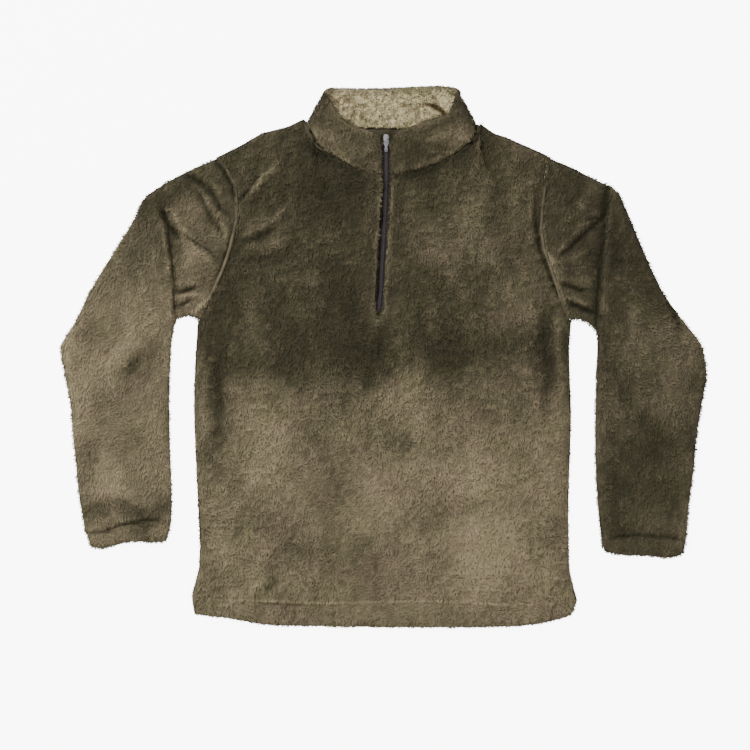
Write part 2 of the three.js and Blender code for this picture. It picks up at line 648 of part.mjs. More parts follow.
function makeSlider() {
  const parts = [
    boxAt(0, 0, -SLIDER_PLATE / 2, SLIDER_WIDTH, SLIDER_LENGTH, SLIDER_PLATE),
    boxAt(0, 0, ARCH_HEIGHT - ARCH_BAR / 2, ARCH_WIDTH, ARCH_LENGTH, ARCH_BAR),
  ];
  for (const end of [-1, 1]) {
    const legY = (end * (ARCH_LENGTH - ARCH_BAR)) / 2;
    parts.push(boxAt(0, legY, ARCH_HEIGHT / 2 - MELD, ARCH_WIDTH, ARCH_BAR, ARCH_HEIGHT + 2 * MELD));
    const flange = (COIL_HEIGHT - TAPE_THICKNESS) * FLANGE_SHARE;
    const flangeX = end * (SLIDER_WIDTH / 2 - FLANGE_WIDTH / 2);
    const flangeZ = -SLIDER_PLATE - flange / 2 + MELD / 2;
    parts.push(boxAt(flangeX, 0, flangeZ, FLANGE_WIDTH, SLIDER_LENGTH, flange));
  }
  const crown = new THREE.CylinderGeometry(SLIDER_WIDTH / 2, SLIDER_WIDTH / 2, SLIDER_PLATE, 20);
  parts.push(crown.rotateX(Math.PI / 2).translate(0, SLIDER_LENGTH / 2, -SLIDER_PLATE / 2));
  const solid = parts.map(solidFrom).reduce((a, b) => a.add(b));
  return meshFromSolid("slider", silver, solid);
}

function makePull() {
  const outline = new THREE.Shape();
  const half = PULL_WIDTH / 2;
  const start = PULL_THICKNESS / 2;
  outline.moveTo(-half, start);
  outline.lineTo(-half * PULL_TAPER, -PULL_LENGTH + half);
  outline.absarc(0, -PULL_LENGTH + half, half * PULL_TAPER, Math.PI, 2 * Math.PI, false);
  outline.lineTo(half, start);
  outline.closePath();
  const eye = new THREE.Path();
  eye.moveTo(-EYE_WIDTH / 2, -start);
  eye.lineTo(EYE_WIDTH / 2, -start);
  eye.lineTo(EYE_WIDTH / 2, -start - EYE_LENGTH);
  eye.lineTo(-EYE_WIDTH / 2, -start - EYE_LENGTH);
  eye.closePath();
  outline.holes.push(eye);
  const settings = { depth: PULL_THICKNESS, bevelEnabled: false, curveSegments: 10 };
  const plate = new THREE.ExtrudeGeometry(outline, settings);
  const mesh = new THREE.Mesh(plate.translate(0, 0, -PULL_THICKNESS / 2), silver);
  mesh.name = "pull_tab";
  mesh.position.set(0, 0, PIVOT_HEIGHT);
  return mesh;
}

function placeSlider() {
  const group = new THREE.Group();
  const run = zipAt(SLIDER_CENTRE_Y + 5).z - zipAt(SLIDER_CENTRE_Y - 5).z;
  const centre = zipAt(SLIDER_CENTRE_Y);
  const standing = COIL_HEIGHT + COIL_TOP_GAP + SLIDER_PLATE;
  group.position.set(centre.x, SLIDER_CENTRE_Y, centre.z + standing);
  group.rotation.x = Math.atan2(run, 10);
  group.add(makeSlider(), makePull());
  return group;
}

const pullover = new THREE.Group();
pullover.add(
  makeBack(),
  makeFront(),
  makeSleeve("sleeve_left", SLEEVE_LEFT, LEFT_FOLDS, 1),
  makeSleeve("sleeve_right", SLEEVE_RIGHT, RIGHT_FOLDS, -1),
  makeCollar(),
  makeLining(),
  makeTape("zip_tape_left", -1),
  makeTape("zip_tape_right", 1),
  placeSlider(),
);

export default pullover;
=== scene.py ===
import math
import bmesh
import bpy
import numpy as np
from mathutils import Matrix, Vector
from mathutils.bvhtree import BVHTree


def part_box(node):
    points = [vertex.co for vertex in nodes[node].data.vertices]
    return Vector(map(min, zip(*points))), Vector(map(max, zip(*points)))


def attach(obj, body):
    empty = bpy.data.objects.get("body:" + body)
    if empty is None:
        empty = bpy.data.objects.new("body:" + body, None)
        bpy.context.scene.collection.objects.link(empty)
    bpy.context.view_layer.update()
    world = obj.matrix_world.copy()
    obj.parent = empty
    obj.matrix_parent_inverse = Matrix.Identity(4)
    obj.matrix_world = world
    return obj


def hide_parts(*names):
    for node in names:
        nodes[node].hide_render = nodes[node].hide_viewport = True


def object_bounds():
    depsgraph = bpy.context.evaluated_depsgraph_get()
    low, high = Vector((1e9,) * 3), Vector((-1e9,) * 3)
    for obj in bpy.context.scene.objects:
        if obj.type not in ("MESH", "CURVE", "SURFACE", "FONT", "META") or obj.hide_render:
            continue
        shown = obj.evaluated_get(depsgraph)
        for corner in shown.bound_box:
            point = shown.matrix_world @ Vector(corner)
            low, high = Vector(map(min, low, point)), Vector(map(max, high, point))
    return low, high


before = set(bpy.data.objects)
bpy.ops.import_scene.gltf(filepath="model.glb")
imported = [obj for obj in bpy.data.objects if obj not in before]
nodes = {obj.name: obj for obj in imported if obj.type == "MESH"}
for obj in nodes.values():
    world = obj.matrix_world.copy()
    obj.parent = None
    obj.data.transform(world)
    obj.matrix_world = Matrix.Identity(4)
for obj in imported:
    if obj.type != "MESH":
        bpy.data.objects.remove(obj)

mm = 0.001
cadBox = [list(corner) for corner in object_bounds()]
garmentWidth = cadBox[1][0] - cadBox[0][0]
garmentLength = cadBox[1][1] - cadBox[0][1]


# small tools

def linear(red, green, blue):
    # display colour 0-255 to the scene's linear colour
    def one(c):
        c /= 255
        return c / 12.92 if c <= 0.04045 else ((c + 0.055) / 1.055) ** 2.4
    return (one(red), one(green), one(blue), 1.0)


def softNoise(points, size, seed):
    # smooth value noise from -1 to 1 on a lattice with cells of that size
    table = np.random.default_rng(seed).uniform(-1, 1, 4096)
    q = points / size + 1000.5
    cell = np.floor(q).astype(np.int64)
    f = q - cell
    f = f * f * (3 - 2 * f)
    total = np.zeros(len(points))
    for corner in np.ndindex(2, 2, 2):
        at = cell + corner
        pick = (at[:, 0] * 73856093 ^ at[:, 1] * 19349663 ^ at[:, 2] * 83492791) & 4095
        weight = np.ones(len(points))
        for axis in range(3):
            weight = weight * (f[:, axis] if corner[axis] else 1 - f[:, axis])
        total += weight * table[pick]
    return total


def unit(vectors):
    return vectors / np.maximum(np.linalg.norm(vectors, axis=1, keepdims=True), 1e-9)


def readCo(mesh):
    co = np.empty(len(mesh.vertices) * 3)
    mesh.vertices.foreach_get("co", co)
    return co.reshape(-1, 3)


def readNormals(mesh):
    normals = np.empty(len(mesh.vertices) * 3)
    mesh.vertices.foreach_get("normal", normals)
    return normals.reshape(-1, 3)


def addObject(name, mesh):
    made = bpy.data.objects.new(name, mesh)
    bpy.context.scene.collection.objects.link(made)
    return made


def pointAttribute(mesh, name, values):
    mesh.attributes.new(name, "FLOAT", "POINT").data.foreach_set("value", values.astype(np.float32))


# shader maths: a wire is a socket that takes part in Python expressions

class Wire:
    def __init__(self, paint, socket):
        self.paint, self.socket = paint, socket

    def maths(self, operation, first, second):
        return self.paint.add("ShaderNodeMath", {"operation": operation}, {0: first, 1: second})

    def __add__(self, other):
        return self.maths("ADD", self, other)

    def __radd__(self, other):
        return self.maths("ADD", other, self)

    def __mul__(self, other):
        return self.maths("MULTIPLY", self, other)

    def __rmul__(self, other):
        return self.maths("MULTIPLY", other, self)


class Paint:
    def __init__(self, name, roughness, metallic=0.0):
        self.material = bpy.data.materials.new(name)
        self.material.use_nodes = True
        self.tree = self.material.node_tree
        self.shader = self.tree.nodes["Principled BSDF"]
        self.shader.inputs["Roughness"].default_value = roughness
        self.shader.inputs["Metallic"].default_value = metallic

    def add(self, kind, settings=None, inputs=None, out=0):
        node = self.tree.nodes.new(kind)
        for key, value in (settings or {}).items():
            if key == "stops":
                for i, (position, colour) in enumerate(value):
                    stops = node.color_ramp.elements
                    stop = stops[i] if i < 2 else stops.new(position)
                    stop.position, stop.color = position, colour
            else:
                setattr(node, key, value)
        for key, value in (inputs or {}).items():
            if isinstance(value, Wire):
                self.tree.links.new(value.socket, node.inputs[key])
            else:
                node.inputs[key].default_value = value
        return Wire(self, node.outputs[out])

    def place(self):
        return self.add("ShaderNodeTexCoord", out="Object")

    def attribute(self, name, out="Fac"):
        return self.add("ShaderNodeAttribute", {"attribute_name": name}, out=out)

    def noise(self, scale, detail=3.0, roughness=0.55):
        values = {"Vector": self.place(), "Scale": scale, "Detail": detail, "Roughness": roughness}
        return self.add("ShaderNodeTexNoise", None, values)

    def ramp(self, value, stops):
        return self.add("ShaderNodeValToRGB", {"stops": stops}, {"Fac": value})

    def mixColour(self, share, first, second, blend="MIX"):
        settings = {"data_type": "RGBA", "blend_type": blend, "clamp_factor": False}
        return self.add("ShaderNodeMix", settings, {0: share, 6: first, 7: second}, out=2)

    def bump(self, height, strength, distance):
        values = {"Height": height, "Strength": strength, "Distance": distance}
        return self.add("ShaderNodeBump", None, values)

    def feed(self, **sockets):
        names = {"colour": "Base Color", "normal": "Normal", "roughness": "Roughness"}
        for key, wire in sockets.items():
            self.tree.links.new(wire.socket, self.shader.inputs[names[key]])
        return self.material


# camera: straight down on the garment, as it was photographed

camera = {
    "distance": 4.2,
    "frameHeight": 1.125,  # what the picture's 750 pixels cover
    "centre": (-0.01275, -0.0285),
}
view = bpy.data.cameras.new("camera")
view.sensor_width = 36
view.lens = 36 * camera["distance"] / camera["frameHeight"]
view.clip_end = 50
viewer = bpy.data.objects.new("camera", view)
viewer.location = (*camera["centre"], camera["distance"])
bpy.context.scene.collection.objects.link(viewer)
bpy.context.scene.camera = viewer


# cloth finishes

cloth = {
    "shadeDark": linear(66, 62, 44),
    "shadeLight": linear(174, 160, 130),
    "olive": (0.95, 1.0, 0.87, 1),
    "taupe": (1.07, 1.0, 1.02, 1),
    "liningDark": linear(104, 90, 62),
    "liningLight": linear(244, 231, 188),
    "fleeceRootDyeAndShade": (0.76, 0.76, 0.72, 1),
    "liningRootDyeAndShade": (0.30, 0.26, 0.16, 1),
}


def clothColour(paint, dark, light, rootDyeAndShade):
    # tone picks the shade of the patch, which carries painted sheen, painted fold shade and painted
    # highlights, tip the frosting along a tuft, shade one tuft's own tint
    tone, tip, shade = (paint.attribute(name) for name in ("tone", "tip", "shade"))
    patch = paint.mixColour(tone, dark, light)
    patch = paint.mixColour(1.0, patch, paint.mixColour(shade, cloth["olive"], cloth["taupe"]), "MULTIPLY")
    # darker roots: partly the pile's own dyed frosting, partly painted shade down between the tufts
    root = paint.mixColour(1.0, patch, rootDyeAndShade, "MULTIPLY")
    return paint.mixColour(tip, root, patch)


def pilePaint():
    paint = Paint("fleecePile", 0.82)
    paint.shader.inputs["Sheen Weight"].default_value = 0.25
    paint.shader.inputs["Sheen Tint"].default_value = linear(176, 162, 130)
    paint.shader.inputs["Sheen Roughness"].default_value = 0.5
    paint.shader.inputs["Specular IOR Level"].default_value = 0.25
    colour = clothColour(paint, cloth["shadeDark"], cloth["shadeLight"], cloth["fleeceRootDyeAndShade"])
    return paint.feed(colour=colour, normal=paint.attribute("lay", "Vector"))


def liningPaint():
    paint = Paint("liningPile", 0.85)
    paint.shader.inputs["Sheen Weight"].default_value = 0.2
    paint.shader.inputs["Sheen Tint"].default_value = linear(232, 218, 180)
    paint.shader.inputs["Specular IOR Level"].default_value = 0.25
    colour = clothColour(paint, cloth["liningDark"], cloth["liningLight"], cloth["liningRootDyeAndShade"])
    return paint.feed(colour=colour, normal=paint.attribute("lay", "Vector"))


def groundPaint(name, dark, light):
    # the knitted ground under the pile: short loops in rows, with curls matted over it, darker in the hollows
    # between the curls as painted shade
    paint = Paint(name, 0.95)
    curls = paint.noise(420.0, 4.0, 0.65)
    loops = paint.add("ShaderNodeTexVoronoi", {"feature": "F1"}, {"Vector": paint.place(), "Scale": 520.0})
    patch = paint.mixColour(paint.attribute("tone"), dark, light)
    # painted shade: darker where the curls sink
    depth = paint.ramp(curls, [(0.3, (0.64, 0.64, 0.6, 1)), (0.75, (0.88, 0.87, 0.83, 1))])
    colour = paint.mixColour(1.0, patch, depth, "MULTIPLY")
    return paint.feed(colour=colour, normal=paint.bump(curls + 0.5 * loops, 0.8, 1.2 * mm))


pileFinish = pilePaint()
liningFinish = liningPaint()
fleeceGround = groundPaint("fleeceGround", cloth["shadeDark"], cloth["shadeLight"])
liningGround = groundPaint("liningGround", cloth["liningDark"], cloth["liningLight"])
print("finishes made")


# nap: soft lighter and darker patches, partly the pile's own tone, partly painted sheen where the brushed
# pile reflects more or less, a few dark ones painted shade beside pleats and troughs
# x, y, reach along, reach across (mm), turn (degrees), lighter or darker

bodyPatches = [
    (-80, 264, 62, 36, -10, -0.17), (-186, 236, 26, 34, 20, -0.10), (-125, 309, 50, 22, 10, -0.06),
    (-60, 84, 26, 40, 0, -0.16), (-36, 8, 44, 46, 10, -0.32), (-162, -10, 66, 26, -4, -0.22),
    (105, 8, 46, 30, -20, -0.26), (-254, -90, 18, 100, 0, -0.28), (242, 10, 14, 70, 0, -0.22),
    (26, -145, 26, 18, -20, -0.28), (-205, -250, 40, 18, -45, -0.12), (-120, -292, 40, 18, 15, -0.12),
    (-50, -82, 22, 34, 0, -0.10), (-36, -306, 24, 30, 0, -0.12), (258, -262, 16, 30, 0, -0.14),
    (-262, -262, 12, 32, 0, -0.12), (-20, 226, 44, 60, 0, -0.06), (60, 290, 60, 22, 0, -0.08),
    (122, 174, 56, 58, 0, 0.20), (205, 70, 34, 54, 0, 0.10), (-208, -112, 76, 60, 0, 0.12),
    (-162, -180, 38, 62, 10, 0.16), (40, -66, 46, 60, 0, 0.20), (152, -186, 42, 66, 0, 0.24),
    (144, -296, 66, 78, 20, 0.30), (-12, -232, 40, 46, -30, 0.18), (-240, -216, 14, 40, 20, 0.16),
    (-236, -300, 16, 36, -10, 0.22), (242, -170, 26, 60, 0, 0.12), (60, -170, 50, 40, 0, 0.08),
    (230, -330, 40, 40, 0, 0.08), (-250, 150, 18, 60, 0, 0.08), (-92, -140, 30, 60, 0, -0.05),
]
leftPatches = [
    (-402, 16, 60, 20, 34, 0.24), (-356, -14, 34, 24, 50, -0.18), (-410, -200, 26, 44, 0, 0.30),
    (-388, -236, 70, 16, 4, -0.34), (-440, -156, 18, 30, 0, -0.18), (-318, 176, 12, 66, 0, -0.10),
    (-292, 150, 18, 28, 0, 0.26), (-290, 216, 20, 34, 10, 0.16), (-326, 246, 44, 20, 40, -0.24),
    (-400, 96, 40, 50, 30, 0.06), (-350, -150, 22, 80, 0, 0.06), (-456, -70, 16, 70, 0, 0.14),
    (-340, -220, 16, 30, 0, -0.12), (-270, 270, 40, 20, -30, -0.10),
]
rightPatches = [
    (408, -156, 30, 56, 0, -0.20), (362, -226, 34, 60, 20, -0.18), (454, -250, 18, 44, 0, 0.22),
    (462, 10, 32, 44, 0, 0.18), (385, 4, 40, 44, 0, 0.08), (330, 150, 16, 90, 0, -0.28),
    (368, 160, 24, 40, 30, -0.06), (300, 170, 28, 60, 0, -0.06), (270, 220, 30, 40, 0, 0.02),
    (420, -60, 30, 60, 0, 0.12), (310, 70, 26, 20, 0, 0.08), (262, 130, 12, 50, 0, 0.10),
]
collarPatches = [
    (-73, 312, 50, 16, -45, 0.14), (116, 330, 40, 18, 45, 0.26), (10, 300, 60, 26, 0, -0.08),
    (-96, 352, 14, 30, 0, 0.10), (60, 300, 30, 20, 0, -0.06),
]


nap = {  # how patches and folds get their brushed edges, and how they are lit
    "wide": 42 * mm, "wideDrift": (14, 18),  # waves that pull an edge about, and how far in x and y (mm)
    "narrow": 15 * mm, "narrowDrift": (7, 9),
    "layReach": 70 * mm, "combMark": 12 * mm, "combSlants": (-0.9, 0.35), "combStretch": 3.2,
    "ragged": ((1.0, 11 * mm), (1.1, 3.5 * mm)),  # a fold's own wander (mm) and its size
    "paintedFoldGain": 1.5, "foldLift": 1.6, "contrast": 1.7,
    "ownShading": 0.36,  # how far a tuft is lit by its own form, the rest being the cloth's
}


def reachTo(x, y, line):
    # distance to a line of points (mm), which side of it, and how far along it from 0 to 1
    best = np.full(len(x), 1e9)
    side, along = np.zeros(len(x)), np.zeros(len(x))
    lengths = [math.dist(line[i], line[i + 1]) for i in range(len(line) - 1)]
    whole = sum(lengths)
    for i, length in enumerate(lengths):
        (x1, y1), (x2, y2) = line[i], line[i + 1]
        dx, dy = (x2 - x1) / length, (y2 - y1) / length
        t = np.clip((x - x1) * dx + (y - y1) * dy, 0, length)
        away = np.hypot(x - x1 - t * dx, y - y1 - t * dy)
        near = away < best
        best = np.where(near, away, best)
        side = np.where(near, np.sign((x - x1) * dy - (y - y1) * dx), side)
        along = np.where(near, (sum(lengths[:i]) + t) / whole, along)
    return best, side, along


def foldPaintedShade(x, y, folds):
    # a fold's painted shade, or painted highlight on a ridge, falls off over its own width on each side, and
    # fades at its ends
    tone = np.zeros(len(x))
    for line, rise, width, shade, leftWidth, rightWidth in folds:
        away, side, along = reachTo(x, y, line)
        fall = np.where(side < 0, leftWidth, rightWidth)
        ends = np.clip(3.5 * np.minimum(along, 1 - along) + 0.35, 0, 1)
        tone += nap["paintedFoldGain"] * shade * ends * np.exp(-((away / (fall + 0.4)) ** 1.8))
    return tone


def broadTone(points, spec):
    # ground tone plus every patch of painted sheen and shade, their edges pulled about so that they look
    # brushed
    (wideX, wideY), (narrowX, narrowY) = nap["wideDrift"], nap["narrowDrift"]
    warpX = wideX * softNoise(points, nap["wide"], 3) + narrowX * softNoise(points, nap["narrow"], 4)
    warpY = wideY * softNoise(points, nap["wide"], 5) + narrowY * softNoise(points, nap["narrow"], 6)
    x, y = points[:, 0] / mm, points[:, 1] / mm
    tone = spec["ground"](x, y)
    for px, py, along, across, turn, amount in spec["patches"]:
        c, s = math.cos(math.radians(turn)), math.sin(math.radians(turn))
        u = ((x + warpX - px) * c + (y + warpY - py) * s) / along
        v = ((y + warpY - py) * c - (x + warpX - px) * s) / across
        tone = tone + amount * np.exp(-((u * u + v * v) ** 1.3))
    mottle = np.zeros(len(points))
    streaks = points * [1.0, spec["streak"], 1.0]
    for size, amount in spec["mottle"]:
        mottle += amount * softNoise(streaks, size * mm, 8 + int(size))
    # comb marks: short streaks that rise to the right in some places and fall in others
    lay = np.clip(0.5 + 1.2 * softNoise(points, nap["layReach"], 31), 0, 1)
    rising, falling = (
        np.stack([slant * x + y, (y - slant * x) * nap["combStretch"], 0 * x], 1) * mm
        for slant in nap["combSlants"]
    )
    mottle += spec["combed"] * lay * softNoise(rising, nap["combMark"], 32)
    mottle += spec["combed"] * (1 - lay) * softNoise(falling, nap["combMark"], 33)
    return tone + mottle * np.clip(1.35 - 0.6 * tone, 0.8, 1.3)


def toneWithPaintedFolds(points, broad, spec):
    # the folds' painted shade and painted highlights laid over the broad tone
    (wide, wideSize), (narrow, narrowSize) = nap["ragged"]
    wander = wide * softNoise(points, wideSize, 7) + narrow * softNoise(points, narrowSize, 34)
    x, y = points[:, 0] / mm, points[:, 1] / mm
    tone = np.clip(broad + foldPaintedShade(x + wander, y - wander, spec["folds"]), -0.2, 1)
    return np.sign(tone) * np.abs(tone) ** nap["contrast"]


def step(low, high, x):
    t = np.clip((x - low) / (high - low), 0, 1)
    return t * t * (3 - 2 * t)


# ground tones: lighter toward the lower edge and darker toward the shoulders, painted light; the body's tone
# also rises a little to the upper right
def bodyGround(x, y):
    return 0.20 + 0.12 * step(-60, 120, x) * step(0, 60, y) + 0.46 * step(60, -130, y)


def leftGround(x, y):
    return 0.34 + 0.34 * step(240, 40, y)


def rightGround(x, y):
    return 0.20 + 0.14 * step(160, 0, y)


def evenGround(level):
    return lambda x, y: level + 0 * x


# cloth shells

openReach = 1.6 * mm  # no pile grows where other cloth lies nearer than this
lowest = {"cloth": 0.8 * mm, "tufts": 0.25 * mm}  # kept clear of the surface it lies on
trees = {}
for nodeName, node in nodes.items():
    held = bmesh.new()
    held.from_mesh(node.data)
    trees[nodeName] = BVHTree.FromBMesh(held)
    held.free()


def shellFrom(name, node, spec):
    # the node's own form, smoothed, and taken in where pile will stand on it
    work = bmesh.new()
    work.from_mesh(nodes[node].data)
    bmesh.ops.remove_doubles(work, verts=work.verts, dist=0.01 * mm)
    flat = math.radians(40)
    bmesh.ops.join_triangles(work, faces=work.faces, angle_face_threshold=flat, angle_shape_threshold=flat)
    mesh = bpy.data.meshes.new(name)
    work.to_mesh(mesh)
    work.free()
    made = addObject(name, mesh)
    subdivide = made.modifiers.new("subdivide", "SUBSURF")
    subdivide.subdivision_type = "SIMPLE"
    subdivide.levels = subdivide.render_levels = spec["levels"]
    bpy.context.view_layer.update()
    done = made.evaluated_get(bpy.context.evaluated_depsgraph_get())
    fineMesh = bpy.data.meshes.new_from_object(done)
    made.modifiers.clear()
    work = bmesh.new()
    work.from_mesh(fineMesh)
    bpy.data.meshes.remove(fineMesh)
    work.normal_update()
    openFace = openFaces(work, node)
    joined = {v for f in work.faces if not openFace[f.index] for v in f.verts}
    free = [v for v in work.verts if v not in joined]
    for _ in range(3):
        bmesh.ops.smooth_vert(work, verts=free, factor=0.5, use_axis_x=True, use_axis_y=True, use_axis_z=True)
    work.normal_update()
    for vertex in work.verts:
        vertex.co -= vertex.normal * spec["takenIn"] * (0.04 if vertex in joined else 1.0)
        vertex.co.z = max(vertex.co.z, lowest["cloth"])
    work.to_mesh(mesh)
    work.free()
    pressFolds(mesh, spec["folds"])
    mesh.shade_smooth()
    co = readCo(mesh)
    pointAttribute(mesh, "tone", toneWithPaintedFolds(co, broadTone(co, spec), spec))
    mesh.attributes.new("open", "FLOAT", "FACE").data.foreach_set("value", openFace)
    mesh.materials.append(spec["finish"])
    print(name, len(mesh.polygons) * 2, "triangles")
    return made


def openFaces(work, node):
    # 1 where nothing lies close in front of the cloth, 0 where another layer covers it
    own = BVHTree.FromBMesh(work)
    others = [tree for name, tree in trees.items() if name != node]
    result = []
    for face in work.faces:
        start = face.calc_center_median() + face.normal * 0.2 * mm
        hit = own.ray_cast(start, face.normal, openReach)[0]
        for tree in others:
            hit = hit or tree.ray_cast(start, face.normal, openReach)[0]
        result.append(0.0 if hit else 1.0)
    return result


def pressFolds(mesh, folds):
    # soft troughs and ridges on the faces that look up
    co, normals = readCo(mesh), readNormals(mesh)
    x, y = co[:, 0] / mm, co[:, 1] / mm
    lift = np.zeros(len(co))
    for line, rise, width, *_ in folds:
        away, _, along = reachTo(x, y, line)
        ends = np.clip(4 * np.minimum(along, 1 - along) + 0.2, 0, 1)
        lift += nap["foldLift"] * rise * np.exp(-(away / width) ** 2) * ends
    co[:, 2] = np.maximum(co[:, 2] + lift * mm * np.clip(normals[:, 2], 0, 1), lowest["cloth"])
    mesh.vertices.foreach_set("co", co.ravel())
    mesh.update()


# pile: curved tufts rooted all over a shell's open side

swirls = [(1.3, 75 * mm, 21), (1.0, 16 * mm, 22), (0.6, 6 * mm, 23)]  # most turn (radians), size, seed


def growPile(name, shell, spec, count, part=None):
    rng = np.random.default_rng(spec["seed"])
    mesh = shell.data
    mesh.calc_loop_triangles()
    corners = np.empty(len(mesh.loop_triangles) * 3, np.int64)
    mesh.loop_triangles.foreach_get("vertices", corners)
    corners = corners.reshape(-1, 3)
    co, normals = readCo(mesh), readNormals(mesh)
    openFace = np.empty(len(mesh.polygons), np.float32)
    mesh.attributes["open"].data.foreach_get("value", openFace)
    owner = np.empty(len(mesh.loop_triangles), np.int32)
    mesh.loop_triangles.foreach_get("polygon_index", owner)
    corners = corners[openFace[owner] > 0.5]
    if part is not None:
        corners = corners[part(co[corners].mean(1))]
    a, b, c = (co[corners[:, i]] for i in range(3))
    size = np.linalg.norm(np.cross(b - a, c - a), axis=1)
    pick = rng.choice(len(corners), count, p=size / size.sum())
    r1, r2 = np.sqrt(rng.random(count)), rng.random(count)
    weights = np.stack([1 - r1, r1 * (1 - r2), r1 * r2], 1)
    root = (co[corners[pick]] * weights[:, :, None]).sum(1)
    up = unit((normals[corners[pick]] * weights[:, :, None]).sum(1))

    # which way the tufts lean: the brushed flow, turned by wide and narrow swirls
    flow = np.tile(np.array(spec["flow"], float), (count, 1))
    flow = unit(flow - up * (flow * up).sum(1)[:, None])
    side = np.cross(up, flow)
    turn = sum(most * softNoise(root, size, seed) for most, size, seed in swirls)
    turn = turn + rng.normal(0, spec["stray"], count)
    lean = flow * np.cos(turn)[:, None] + side * np.sin(turn)[:, None]
    across = np.cross(up, lean)
    tilt = rng.normal(0, 0.3, count)[:, None]
    broad = across * np.cos(tilt) + up * np.sin(tilt)
    # tips gather into curls, which stand a little higher than the partings between them
    clump, nudge = softNoise(root, spec["curls"], 24), 0.3 * mm
    slope = np.stack([softNoise(root + np.eye(3)[i] * nudge, spec["curls"], 24) - clump for i in range(3)], 1)
    gather = slope / nudge * spec["curls"] * spec["gather"]
    gather -= up * (gather * up).sum(1)[:, None]
    flatter = spec["edge"] + (1 - spec["edge"]) * np.abs(up[:, 2])
    height = spec["height"] * rng.uniform(0.7, 1.15, count) * (1 + 0.3 * clump) * flatter
    reach = spec["reach"] * rng.uniform(0.5, 1.35, count) * flatter
    curl = spec["curl"] * rng.normal(0, 1, count)
    width = spec["width"] * rng.uniform(0.7, 1.3, count) / 2

    along = np.array([0.0, 0.5, 1.0])
    rise = [0.0, 0.78, 1.0]
    spine = [
        root + up * (height * rise[k])[:, None] + lean * (reach * along[k] ** 1.2)[:, None]
        + across * (curl * math.sin(math.pi * along[k]))[:, None] + gather * along[k]
        for k in range(3)
    ]
    rows = []
    for k in range(2):
        half = broad * width[:, None]
        rows += [spine[k] - half, spine[k] + half]
    rows.append(spine[2])
    points = np.stack(rows, 1)  # count, 5, 3
    points[:, :, 2] = np.maximum(points[:, :, 2], lowest["tufts"])
    base = np.arange(count)[:, None] * 5
    loops = np.concatenate([base + [1, 0, 2, 3], base + [3, 2, 4]], 1)

    tufts = bpy.data.meshes.new(name)
    tufts.vertices.add(count * 5)
    tufts.vertices.foreach_set("co", points.ravel())
    tufts.loops.add(count * 7)
    tufts.loops.foreach_set("vertex_index", loops.ravel().astype(np.int32))
    tufts.polygons.add(count * 2)
    starts = (np.arange(count)[:, None] * 7 + [0, 4]).ravel()
    tufts.polygons.foreach_set("loop_start", starts.astype(np.int32))
    tufts.update(calc_edges=True)
    tufts.shade_smooth()
    # each tuft's shading leans toward the cloth's own, which keeps the pile soft
    own = readNormals(tufts)
    own *= np.sign((own * np.repeat(up, 5, 0)).sum(1))[:, None]
    soft = unit(nap["ownShading"] * own + (1 - nap["ownShading"]) * np.repeat(up, 5, 0))
    tufts.normals_split_custom_set_from_vertices(soft.tolist())
    tufts.attributes.new("lay", "FLOAT_VECTOR", "POINT").data.foreach_set("vector", soft.ravel())
    # curls lighter and the partings between them darker: painted highlight and painted shade
    broad = broadTone(spine[1], spec) + spec["curlPaintedShade"] * clump + rng.normal(0, spec["grain"], count)
    frost = spec["frost"] * (rng.random(count) < spec["frosted"])
    tone = np.stack([toneWithPaintedFolds(spine[k], broad + frost * (k == 2), spec) for k in range(3)], 1)
    pointAttribute(tufts, "tone", np.repeat(tone, [2, 2, 1], axis=1).ravel())
    pointAttribute(tufts, "tip", np.tile([0, 0, 0.8, 0.8, 1.0], count))
    tint = 0.5 * rng.random(count) + 0.25 + 0.4 * softNoise(root, 24 * mm, 27)
    pointAttribute(tufts, "shade", np.repeat(np.clip(tint, 0, 1), 5))
    planMap(tufts, points.reshape(-1, 3), np.repeat(up[:, 2] < 0, 5))
    tufts.materials.append(spec["pileFinish"])
    made = addObject(name, tufts)
    print(name, count * 3, "triangles")
    return made


def planMap(mesh, places, under):
    # a map by plan: what looks up on the left half, what looks down on the right
    u = (places[:, 0] - cadBox[0][0] + 0.02) / (garmentWidth + 0.04) / 2 + np.where(under, 0.5, 0)
    v = (places[:, 1] - cadBox[0][1] + 0.02) / (garmentLength + 0.04)
    corner = np.empty(len(mesh.loops), np.int32)
    mesh.loops.foreach_get("vertex_index", corner)
    layer = mesh.uv_layers.new(name="OFBake")
    layer.data.foreach_set("uv", np.stack([u, v], 1)[corner].astype(np.float32).ravel())


fleecePile = {
    "pileFinish": pileFinish, "finish": fleeceGround, "height": 3.8 * mm, "reach": 4.6 * mm, "curl": 0.6 * mm,
    "width": 1.25 * mm, "stray": 0.32, "grain": 0.03, "flow": (0, -1, 0), "edge": 0.55,
    "curls": 8 * mm, "gather": 1.0 * mm, "curlPaintedShade": 0.06, "frost": 0.16, "frosted": 0.3,
    "mottle": [(58, 0.05), (30, 0.08), (16, 0.10), (8, 0.08), (4, 0.05)], "streak": 0.6, "combed": 0.08,
}
